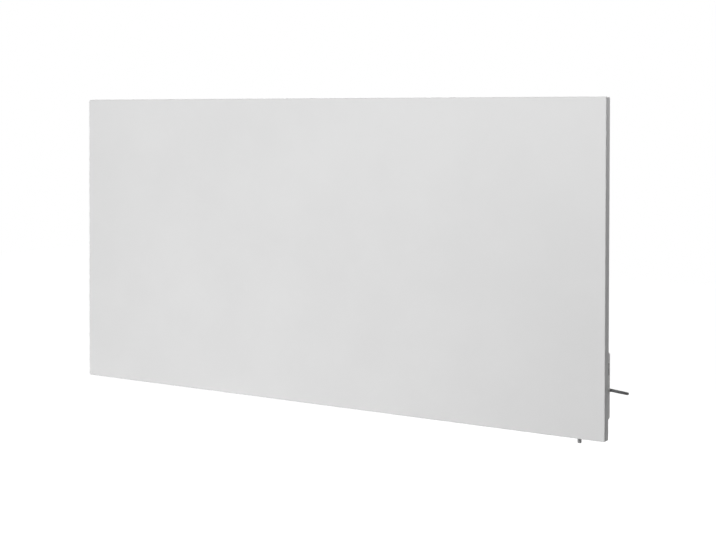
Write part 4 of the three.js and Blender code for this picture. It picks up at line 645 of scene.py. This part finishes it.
def supply_lead():
    """The lead as one curve through the same points as the solids: free stretch, coil, tail."""
    top = RELIEF_ROOT + RELIEF_LENGTH
    end = [(PLUG_X, RELIEF_Y, top + 5), (PLUG_X, RELIEF_Y, top + GAP)]
    route = metres(np.vstack([LEAD, coil_line(), TAIL, end]))
    data = bpy.data.curves.new("supply_lead", "CURVE")
    data.dimensions = "3D"
    data.bevel_depth, data.bevel_resolution = CORD_DIAMETER / 2000.0, 6
    data.resolution_u, data.render_resolution_u, data.use_fill_caps = 6, 6, True
    line = data.splines.new("BEZIER")
    line.bezier_points.add(len(route) - 1)
    line.bezier_points.foreach_set("co", route.ravel())
    for point in line.bezier_points:
        point.handle_left_type = point.handle_right_type = "AUTO"
    length = float(np.linalg.norm(np.diff(route, axis=0), axis=1).sum())
    lead = link("supply_lead", data)
    return dress(lead, "grey_cord", "cord_lead", "cord_coil", "cord_tail"), length


def cord_strap():
    """The strap round the coil's turns: a band between two rounded rectangles, carried along Z."""
    x0, x1, y0, y1, z0, z1 = 525.8, 549.2, 18.7, 33.1, 188.5, 198.5
    outer, inner = (rounded_outline(x1 - x0 - cut, y1 - y0 - cut, radius, 10)
                    for cut, radius in ((0.0, 3.0), (2.2, 2.0)))
    rings = [ring(outline, "z", ((x0 + x1) / 2, (y0 + y1) / 2, z)) for outline, z in
             ((outer, z0), (outer, z1), (inner, z1), (inner, z0), (outer, z0))]
    band = make("cord_strap", rings, grid_faces(5, len(outer), closed=True))
    return dress(ease(band, 0.25), "strap", "cord_tie", slot="black_moulding")


def plug():
    """The plug: a turned body with a domed back and a flat face, joined to a tapering relief with
    grip rings; guide grooves left and right and a seat for each earth clip; pins with rounded ends;
    clips bowed as a shallow arc."""
    r, depth = PLUG_RADIUS, PLUG_FACE - PLUG_BACK
    dome, rim, recess = 3.4, 0.8, 0.35
    body = turned("plug_shell", [
        *arc((r - dome, dome), dome, -90, 0), (r, 9.0), (r - recess, 9.4), (r - recess, 10.2),
        (r, 10.6), *arc((r - rim, depth - rim), rim, 0, 90)], (PLUG_X, PLUG_BACK, PLUG_Z), "y", 96)
    grips = grip_rings(5, 6.7, 0.55, 7.4, 3.0, ((0, 0), (1.0, 0.3), (1.1, 1.3), (0.25, 1.6)))
    relief = turned("relief", [(7.1, 0), (7.1, 6.6), *grips, (3.75, 23.1), (3.4, RELIEF_LENGTH)],
                    (PLUG_X, RELIEF_Y, RELIEF_ROOT), "z")
    combine(body, [relief], "UNION")
    guide, seat = rounded_outline(4.8, 5.2, 0.8, 4), rounded_outline(6.2, 3.6, 0.4, 3)
    cut_depth = 13
    cutters = [slot_cutter(f"{name}_{side}", outline, "y", (PLUG_X + side * a, PLUG_Z + side * b),
                           PLUG_FACE - cut_depth, PLUG_FACE + 1)
               for name, outline, a, b in (("guide", guide, r, 0), ("seat", seat, 0, r))
               for side in (-1, 1)]
    cutters.append(rod("earth_socket", 4.9, 12, (PLUG_X, PLUG_FACE - 11, PLUG_Z + 9), "y"))
    for i, (x, z) in enumerate(arc((PLUG_X, PLUG_Z), r + 0.4, 205, 334, 6)):
        cutters.append(rod(f"grip_{i}", 2.2, 6.5, (x, PLUG_BACK + 12.4, z), "y", 20))
    combine(body, cutters)
    pieces = [dress(body, "grey_cord", "plug_body")]
    pin_radius, pin_length, half_spacing = 2.4, 19.0, 9.5
    clip_length, clip_thickness, half_width, bow = 12.0, 0.8, 2.7, 0.35
    along = np.linspace(0, clip_length, 25)[:, None]
    rise = (clip_thickness + bow * np.sin(math.pi * along / clip_length)) * [0, 0, 1, 1]
    for i, side in ((1, -1), (2, 1)):
        pin = turned(f"plug_contact_{i}", [(pin_radius, 0), (pin_radius, 0.4),
                                           *arc((0, pin_length - 1.8), (pin_radius, 1.8), 0, 90)],
                     (PLUG_X + side * half_spacing, PLUG_FACE + GAP, PLUG_Z), "y", 40)
        section = np.stack([PLUG_X + half_width * np.array([-1, 1, 1, -1]) + 0 * rise,
                            PLUG_FACE - clip_length + along + 0 * rise,
                            PLUG_Z + side * (r - 1.5 + rise)], -1)
        clip = ease(loft(f"earth_clip_{i}", section), 0.15)
        pieces += [dress(pin, "nickel", f"plug_pin_{i}"), dress(clip, "nickel", f"plug_clip_{i}")]
    return pieces


lead, lead_length = supply_lead()
round(lead_length + 0.01, 2)
cord_strap()
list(plug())


# ---------------------------- panel
def panel_skin():
    """The tray's outer skin: rings of a rounded rectangle. From a flat face the rings go out and
    back over a quarter circle, along the side, over a second quarter circle and in along the
    flange. Past the second bend only the straight sides go on, each cut back at its ends on the
    mitre."""
    steps, least_radius, mitre = 6, 0.5, 0.6
    bend = [*arc((EDGE_RADIUS, EDGE_RADIUS), EDGE_RADIUS, -90, -180), (0.0, DEPTH - BACK_BEND)]
    rings = [ring(rounded_outline(WIDTH - 2 * inset, HEIGHT - 2 * inset,
                                  max(CORNER_RADIUS - inset, least_radius), steps),
                  "y", (0, y, HEIGHT / 2)) for inset, y in bend]
    rows, columns = len(rings), 4 * (steps + 1)
    points = np.array(rings).reshape(-1, 3)
    faces = grid_faces(rows, columns, closed=True).tolist() + [list(range(columns))]
    # the four flanges: each starts on a straight side's last two points
    inward, back = arc((BACK_BEND, DEPTH - BACK_BEND), BACK_BEND, 180, 90, steps).T
    inward = np.concatenate([inward, np.linspace(BACK_BEND, FLANGE, 6)[1:]])[:, None]
    back = np.concatenate([back, np.full(5, DEPTH)])
    cut_back = np.maximum(0.0, inward - CORNER_RADIUS + mitre)
    for side in range(4):
        first = (rows - 1) * columns + side * (steps + 1) + steps
        second = (rows - 1) * columns + (side + 1) % 4 * (steps + 1)
        a, b = points[first], points[second]
        along = (b - a) / np.linalg.norm(b - a)
        normal = np.cross(along, (0.0, 1.0, 0.0))
        normal = -normal if normal @ (a - np.array([0, 0, HEIGHT / 2])) > 0 else normal
        left = a + along * cut_back + normal * inward
        right = b - along * cut_back + normal * inward
        left[:, 1] = right[:, 1] = back
        pairs = [(first, second), *np.arange(2 * len(back) - 2).reshape(-1, 2) + len(points)]
        points = np.vstack([points, np.stack([left, right], 1)[1:].reshape(-1, 3)])
        faces += [[p[0], p[1], q[1], q[0]] for p, q in zip(pairs, pairs[1:])]
    skin = make("panel_skin", points, faces, closed=False)
    return dress(thicken(skin, GAUGE), "white_powder", "front_tray", crease=40.0)


def back_sheet():
    """The back plate as a height over X and Z. Its edge columns are drawn in near the corners by
    the radius less a circle's height, and each bead rises as a smooth step of the distance from its
    middle line."""
    w, h, r = WIDTH / 2 - BACK_INSET, HEIGHT / 2 - BACK_INSET, BACK_CORNER
    near = np.linspace(-11, 11, 23)
    ends, shoulder, slope = (BEAD_LENGTH - BEAD_WIDTH) / 2, BEAD_WIDTH / 2 + 0.8, 4.4
    corner = r * (1 - np.cos(np.linspace(0, QUARTER, 9)))
    x = np.unique(np.concatenate([np.linspace(-w + r, w - r, 41), [-w, w],
                                  *[bead + near for bead in BEADS]]))
    z = np.unique(np.concatenate([-h + corner, h - corner, np.linspace(-h + r, h - r, 25),
                                  near - ends, near + ends]))
    gx, gz = np.meshgrid(x, z, indexing="ij")
    reach = np.sqrt(np.clip(r * r - np.clip(np.abs(gz) - (h - r), 0, r) ** 2, 0, None))
    past = np.abs(gx) - (w - r)
    gx = np.where(past > 0, np.sign(gx) * (w - r + past / r * reach), gx)
    rise = np.zeros_like(gx)
    for bead in BEADS:
        away = np.hypot(gx - bead, np.clip(np.abs(gz) - ends, 0, None))
        t = np.clip((shoulder - away) / slope, 0, 1)
        rise += BEAD_HEIGHT * t * t * (3 - 2 * t)
    points = np.stack([gx, BACK_START + BACK_GAUGE / 2 + rise, HEIGHT / 2 + gz], -1)
    sheet = make("back_sheet", points, grid_faces(*gx.shape), closed=False)
    return dress(thicken(sheet, BACK_GAUGE, 0.0), "white_powder", "back_plate", crease=50.0)


def cross_screw(name, centre, radius, height, shank, length, *nodes, sides=48):
    """A pan-head screw with a cross recess, its axis along Y. The head's top is a flat dome over
    the radius; the recess is a depth times a smooth step of the distance from each arm's middle
    line and end."""
    r = radius * np.sin(np.linspace(0, QUARTER, 17))
    angle = around(sides)
    a, b = r[:, None] * np.cos(angle), r[:, None] * np.sin(angle)
    edge = recess_depth = 0.62 * height
    top = (edge + (height - edge) * np.sqrt(np.clip(1 - (r / radius) ** 2, 0, 1)))[:, None]

    def arm(across, along):
        side = np.clip((radius * 0.16 - np.abs(across)) / (radius * 0.07) + 1, 0, 1)
        end = np.clip((radius * 0.58 - np.abs(along)) / (radius * 0.16), 0, 1)
        return side * end * np.clip(1.15 - np.abs(along) / radius, 0, 1)

    recess = np.maximum(arm(a, b), arm(b, a)) * recess_depth
    head = np.stack([centre[0] + a, centre[1] + top - recess, centre[2] + b], -1)
    lower = np.array([(radius, height * 0.3), (radius * 0.97, 0.0), (shank, 0.0),
                      (shank, -length + 0.5), (shank * 0.5, -length), (0.0, -length)])
    rest = np.stack([centre[0] + lower[:, :1] * np.cos(angle), centre[1] + lower[:, 1:] + 0 * angle,
                     centre[2] + lower[:, :1] * np.sin(angle)], -1)
    rows = np.vstack([head, rest])
    screw = make(name, rows, grid_faces(len(rows), sides, closed=True))
    return dress(screw, "steel", *nodes, crease=38.0)


def back_screws():
    """Screws along the plate's edge into the flange."""
    margin = 13.0
    places = [(x, z) for z in (margin, HEIGHT - margin) for x in np.linspace(-500.0, 500.0, 6)]
    edge = WIDTH / 2 - margin
    places += [(x, z) for x in (-edge, edge) for z in (200.0, 330.0, 470.0)]
    for i, (x, z) in enumerate(places, 1):
        cross_screw(f"back_screw_{i:02d}", (x, BACK_FACE + 0.05, z), radius=2.9, height=1.7,
                    shank=1.4, length=0.7, sides=32)


panel_skin()
back_sheet()
back_screws()


# ---------------------------- hanging parts
SIDES = (("left", -1), ("right", 1))


def hangers_and_rail():
    """Folded strips: each hanger's foot on the plate, web over the rail's lip and hook behind it;
    the rail's lip, web and wall flange, with four slots; and the hangers' screws."""
    for where, side in SIDES:
        hanger = folded_sheet(
            f"hook_{where}", [(19.4, 520.3), (19.4, 487.3), (47.8, 487.3), (47.8, 474.3)],
            middle=side * HANGER_X, length=80.0, near_radius=5.0, far_radius=3.0)
        dress(hanger, "zinc_sheet", f"hanger_{where}")
    rail = folded_sheet("hanging_rail", [(45, 486), (45, 471), (67, 471), (67, 510)],
                        middle=0.0, length=720.0, near_radius=3.0, far_radius=4.0)
    hole = rounded_outline(18.0, 7.0, 3.49, 10)
    slots = [slot_cutter(f"slot_{i}", hole, "y", (x, 499.0), 60.0, 72.0)
             for i, x in enumerate((-330.0, -110.0, 110.0, 330.0))]
    dress(combine(rail, slots), "zinc_sheet", "wall_rail", body="rail")
    places = [side * HANGER_X + end * 25.0 for side in (-1, 1) for end in (-1, 1)]
    for i, x in enumerate(places, 1):
        cross_screw(f"hook_screw_{i}", (x, 20.7, 506.7), 4.0, 2.0, 2.0, 6.9,
                    f"hanger_screw_{i}")


def spacers():
    """A flanged post with four webs whose outline falls as a smooth curve from the flange to the
    post, and a rubber foot with a ribbed end."""
    start = BACK_FACE + GAP
    for where, side in SIDES:
        x, z = side * SPACER_X, SPACER_Z
        post = turned(f"standoff_{where}", [
            (19, 0), *arc((18.4, 2.4), 0.6, 0, 90, 6), *arc((13.0, 5.0), 2.0, -90, -180, 6),
            (9.6, 43.6), (9.2, 44.3), (5.4, 44.3), (5.4, 37.0)], (x, start, z), "y", 72)
        s = np.linspace(0, 1, 15)
        reach = 17.6 - 8.2 * np.clip(s * 1.04, 0, 1) ** 0.55
        out = np.stack([s * 0 + 1.0, reach, reach, s * 0 + 1.0], -1)
        across = np.array([-1.0, -0.9, 0.9, 1.0])
        height = start + 1.0 + 22.0 * s[:, None] + 0 * out
        webs = []
        for i in range(4):
            cos, sin = math.cos((i + 0.5) * QUARTER), math.sin((i + 0.5) * QUARTER)
            webs.append(loft(f"web_{i}", np.stack([x + out * cos - across * sin, height,
                                                   z + out * sin + across * cos], -1)))
        combine(post, webs, "UNION")
        dress(post, "white_moulding", f"spacer_{where}")
        foot = turned(f"rubber_foot_{where}", [
            (4.5, 0), (5, 0.5), (5, 7), (12.4, 7), (13, 7.6), (13, 10.6), (12.5, 11.4), (12, 12),
            (9.4, 12), (9, 11.5), (8, 11.5), (7.6, 12), (5.4, 12), (5, 11.5), (4, 11.5),
            (3.6, 12)], (x, FOOT_START, z), "y")
        dress(foot, "dark_rubber", f"spacer_foot_{where}")


hangers_and_rail()
spacers()


# ---------------------------- control housing
def housing_ring(inset, y):
    """The housing's outline at a depth, drawn in by the draft in proportion to the depth."""
    inset += HOUSING_DRAFT * (y - HOUSING_START) / (HOUSING_END - HOUSING_START)
    outline = rounded_outline(HOUSING_WIDTH - 2 * inset, HOUSING_HEIGHT - 2 * inset,
                              max(HOUSING_CORNER - inset, 0.4), 12)
    return ring(outline, "y", (HOUSING_X, y, HOUSING_Z))


def housing_shell():
    """The cover: outside from its back face over a quarter circle and down the drafted sides, a
    small step at the joint, and back up the inside; then posts are joined and the openings cut."""
    step, wall = 0.35, HOUSING_WALL
    shell = loft("housing_shell", [housing_ring(inset, y) for inset, y in (
        *arc((HOUSING_EDGE, HOUSING_END - HOUSING_EDGE), HOUSING_EDGE, 90, 180, 11),
        (0.0, HOUSING_START + 1.4), (step, HOUSING_START + 1.2), (step, HOUSING_START),
        (wall, HOUSING_START), (wall, HOUSING_END - wall))])
    posts = [rod(f"post_{i}", 9.4, 12.3, (x, 29.7, z), "y", 32) for i, (x, z) in enumerate(POSTS)]
    combine(shell, posts, "UNION")
    bore = [(1.55, 0), (1.55, 10.4), (3.2, 10.4), (3.2, 15.0), (3.6, 15.4), (4.2, 16.0)]
    cutters = [turned(f"bore_{i}", bore, (x, 28.0, z), "y", 40) for i, (x, z) in enumerate(POSTS)]
    vent, vent_pitch, reach = rounded_outline(2.0, 11.0, 0.99, 6), 6.0, 2 * HOUSING_WALL
    for i in range(6):
        for where, middle, z in (("top", 542.2, HOUSING_TOP), ("low", 513.2, HOUSING_LOW)):
            place = (middle + (i - 2.5) * vent_pitch, PROBE[1])
            cutters.append(slot_cutter(f"vent_{where}_{i}", vent, "z", place, z - reach, z + reach))
    cutters += [
        slot_cutter("window", rounded_outline(13.2, 19.8, 0.5, 4), "x", SWITCH[1:], 585.0, 594.0),
        rod("sleeve_hole", 9.2, 8.0, (586.0, *CORD_EXIT[1:]), "x"),
        rod("probe_hole", 11.0, 8.0, (*PROBE, 28.0), "z"),
        slot_cutter("panel_recess", rounded_outline(56.0, 30.0, 2.0, 6), "y",
                    (HOUSING_X, HOUSING_Z + 8.0), HOUSING_END - 0.35, HOUSING_END + 1.0)]
    combine(shell, cutters)
    dress(shell, "white_moulding", "housing_cover", crease=30.0)
    for i, post in enumerate((0, 2, 3, 1), 1):
        x, z = POSTS[post]
        cross_screw(f"case_screw_{i}", (x, 38.7, z), 2.8, 2.0, 1.3, 12.9, f"cover_screw_{i}")


def switch():
    """The rocker switch: a case whose rings run from its back, out over a bezel with a rounded edge
    and down into the well; and the rocker, its face a shallow hollow (the ends higher by a square
    law), its lower side a keel, turned about its axle into the off position."""
    px, py, pz = SWITCH
    case = loft("switch_case", [
        ring(rounded_outline(width, height, radius, 5), "x", (x, py, pz))
        for x, width, height, radius in (
            (578.2, 12.6, 19.2, 0.6), (592.5, 12.6, 19.2, 0.6), (592.5, 15.0, 21.6, 1.5),
            (593.2, 15.0, 21.6, 1.5), (593.5, 14.8, 21.4, 1.4), (593.66, 14.4, 21.0, 1.2),
            (593.7, 13.8, 20.4, 1.0), (593.7, 10.4, 16.4, 0.9), (593.5, 9.8, 15.8, 0.7),
            (593.2, 9.6, 15.6, 0.6), (585.7, 9.6, 15.6, 0.6))])
    combine(case, [rod("bearing", 2.6, 12.0, (px, py - 6.0, pz), "y", 24)])
    dress(case, "black_moulding", "switch_body")
    middle, half_length, half_width, tilt = 3.0, 6.8, 4.5, math.radians(10.0)

    def tipped(points):
        """Turned by the tilt about the axle's line, the upper end outwards."""
        x, y, z = np.moveaxis(np.asarray(points, dtype=float), -1, 0)
        return np.stack([px + x * math.cos(tilt) + z * math.sin(tilt), py + y,
                         pz - x * math.sin(tilt) + z * math.cos(tilt)], -1)

    def on_face(y, z, rise):
        """Points over the hollow face: its middle's height, plus the square of the way to its end,
        plus the rise."""
        return tipped(np.stack([middle + (z / half_length) ** 2 + rise, y, z], -1))

    along = np.linspace(1, -1, 25)
    face = np.stack([middle + along ** 2, along * half_length], -1)
    keel = bent([(4.0, -6.8), (0.8, -6.8), (-0.6, -4.2), (-3.4, -1.6), (-3.4, 1.6), (-0.6, 4.2),
                 (0.8, 6.8), (4.0, 6.8)], 0.7, 4)[1:-1]
    outline = np.vstack([face, keel])
    rows = [tipped(ring(outline, "y", (0, y, 0))) for y in (-half_width, half_width)]
    rocker = ease(loft("rocker", rows), 0.35, 3, 40.0)
    combine(rocker, [rod("axle", 2.0, 11.2, (px, py - 5.6, pz), "y", 32)], "UNION")
    dress(rocker, "black_moulding", "switch_rocker", body="rocker")

    mark_middle, sunk, proud, turn = 4.1, -0.2, 0.09, around(40)
    section = np.array([(1.05, sunk), (1.6, sunk), (1.6, proud), (1.05, proud), (1.05, sunk)])
    circle = on_face(section[:, :1] * np.cos(turn), section[:, :1] * np.sin(turn) - mark_middle,
                     section[:, 1:])
    z = mark_middle + np.linspace(-1.6, 1.6, 9)[:, None] * np.ones(4)
    bar = on_face(np.array([-0.3, 0.3, 0.3, -0.3]) + 0 * z, z, np.array([sunk, sunk, proud, proud]))
    dress(make("mark_off", circle, grid_faces(5, 40, closed=True)), "white_moulding", body="rocker")
    dress(loft("mark_on", bar), "white_moulding", body="rocker")


def probe():
    """The sensor's tube: straight, with a rolled groove, a crimp and a rounded tip; and the rubber
    bush that holds it in the housing's underside."""
    tube = turned("sensor_tube", [
        (2.9, 0), (3.5, 0.3), (3.7, 0.9), (3.7, 6.2), (3.4, 6.8), (3.25, 7.5), (3.4, 8.2),
        (3.7, 8.8), (3.7, 47.0), (3.58, 47.3), (3.52, 47.8), (3.58, 48.3), (3.7, 48.6),
        *arc((2.3, 56.6), 1.4, 0, 90)], (*PROBE, 44.0), "down")
    dress(tube, "probe_steel", "probe_tube", slot="steel")
    bush = turned("sensor_bush", [
        (3.95, 0), (6.1, 0.2), (6.6, 0.9), (6.7, 1.6), (6.5, 2.0), (5.2, 2.0), (5.2, 5.1),
        (6.5, 5.1), (6.7, 5.5), (6.3, 6.7), (5.4, 7.5), (3.95, 7.6), (3.95, 0)],
        (*PROBE, 35.8), "down")
    dress(bush, "dark_rubber", "probe_bush")


def cord_relief():
    """The moulded strain relief: flange and neck in the wall, then a collar and a taper with grip
    rings. It is white like the housing, because the lead shows dark only past the housing's
    edge."""
    grips = grip_rings(3, 3.85, 0.22, 17.6, 1.7, ((0, 0), (0.35, 0.25), (0.35, 0.8), (0.05, 1.05)))
    sleeve = turned("strain_relief", [
        (3.5, 0), (3.8, 9.9), (5.9, 10.1), (5.9, 12.3), (4.3, 12.3), (4.3, 15.3), (5.1, 15.3),
        (5.3, 15.6), (5.2, 16.3), (4.8, 16.8), *grips, (3.15, 22.8), (2.9, 23.0)],
        (577.2, *CORD_EXIT[1:]), "x")
    dress(sleeve, "white_moulding", "cord_sleeve")


housing_shell()
switch()
probe()
cord_relief()


# ---------------------------- finishes of the nodes that stay
def dress_nodes():
    """Every solid that still shows takes the finish of its material slot."""
    slots = {entry["node"]: entry["material_slot"] for entry in frame["record"]["subparts"]}
    for name, node in frame["nodes"].items():
        for holder in node.material_slots:
            holder.material = FINISHES[slots[name]]


dress_nodes()


# ---------------------------- stage and light
LAMPS = (  # name, place and aim in metres, width and height in metres, power in watts
    ("front", (-0.2, -3.4, 1.0), (0.0, 0.0, -0.2), 1.2, 1.4, 88.5),
    ("low", (-0.45, -1.0, -1.1), (0.0, 0.0, -0.2), 0.9, 0.7, 3.2),
    ("upper right", (1.3, -0.1, 0.8), (0.6, 0.0, -0.1), 0.5, 0.5, 2.2),
    ("left", (-1.5, 0.1, 0.5), (-0.6, 0.0, -0.2), 0.5, 0.5, 3.0),
    ("behind", (0.4, 3.6, 1.2), (0.1, 0.0, -0.2), 2.6, 2.2, 80.0),
)
AMBIENT, FLOOR_GLOW, FLOOR_LEVEL, FLOOR_REACH = 0.063, 0.975, -1.3, 9


def lamp(name, place, aim, width, height, power):
    data = bpy.data.lights.new(name, "AREA")
    data.shape, data.size, data.size_y, data.energy = "RECTANGLE", width, height, power
    ahead = np.subtract(aim, place)
    ahead /= np.linalg.norm(ahead)
    right = np.cross(ahead, (0.0, 0.0, 1.0))
    right /= np.linalg.norm(right)
    stand(link(name, data), right, np.cross(right, ahead), ahead, place)


def seen_directly(tree):
    """1 where the camera, a reflection or a view through glass looks, 0 for the light that falls on
    things."""
    rays = [f"Is {kind} Ray" for kind in ("Camera", "Glossy", "Transmission")]
    camera, glossy, through = tree.outputs("LightPath", rays)
    return camera.most(glossy).most(through)


def studio():
    """A white surround for the eye, a dimmer even light for the object, a pale floor well below it,
    a broad soft lamp in front, a weak one below, a small one on either side and a broad one
    behind."""
    world = bpy.context.scene.world = bpy.data.worlds.new("surround")
    tree = Tree(world)
    dim, white = (tree.node("Background", None, {"Color": opaque((1.0, 1.0, 1.0)), "Strength": s})
                  for s in (AMBIENT, 1.0))
    mix = tree.node("MixShader", None, {0: seen_directly(tree), 1: dim, 2: white})
    tree.node("OutputWorld", None, {"Surface": mix})

    mesh = bpy.data.meshes.new("floor")
    corners = [(a * FLOOR_REACH, b * FLOOR_REACH, FLOOR_LEVEL)
               for a, b in ((-1, -1), (1, -1), (1, 1), (-1, 1))]
    mesh.from_pydata(corners, [], [(0, 1, 2, 3)])
    pale = bpy.data.materials.new("floor")
    tree = Tree(pale)
    matt = tree.node("BsdfDiffuse", None, {"Color": opaque((0.42, 0.42, 0.42))})
    glow = tree.node("Emission", None, {"Strength": FLOOR_GLOW})
    both = tree.node("AddShader", None, {0: matt, 1: glow})
    mix = tree.node("MixShader", None, {0: seen_directly(tree), 1: matt, 2: both})
    tree.node("OutputMaterial", None, {"Surface": mix})
    mesh.materials.append(pale)
    link("floor", mesh)

    for settings in LAMPS:
        lamp(*settings)
    bpy.context.scene.view_settings.view_transform = "Standard"


studio()
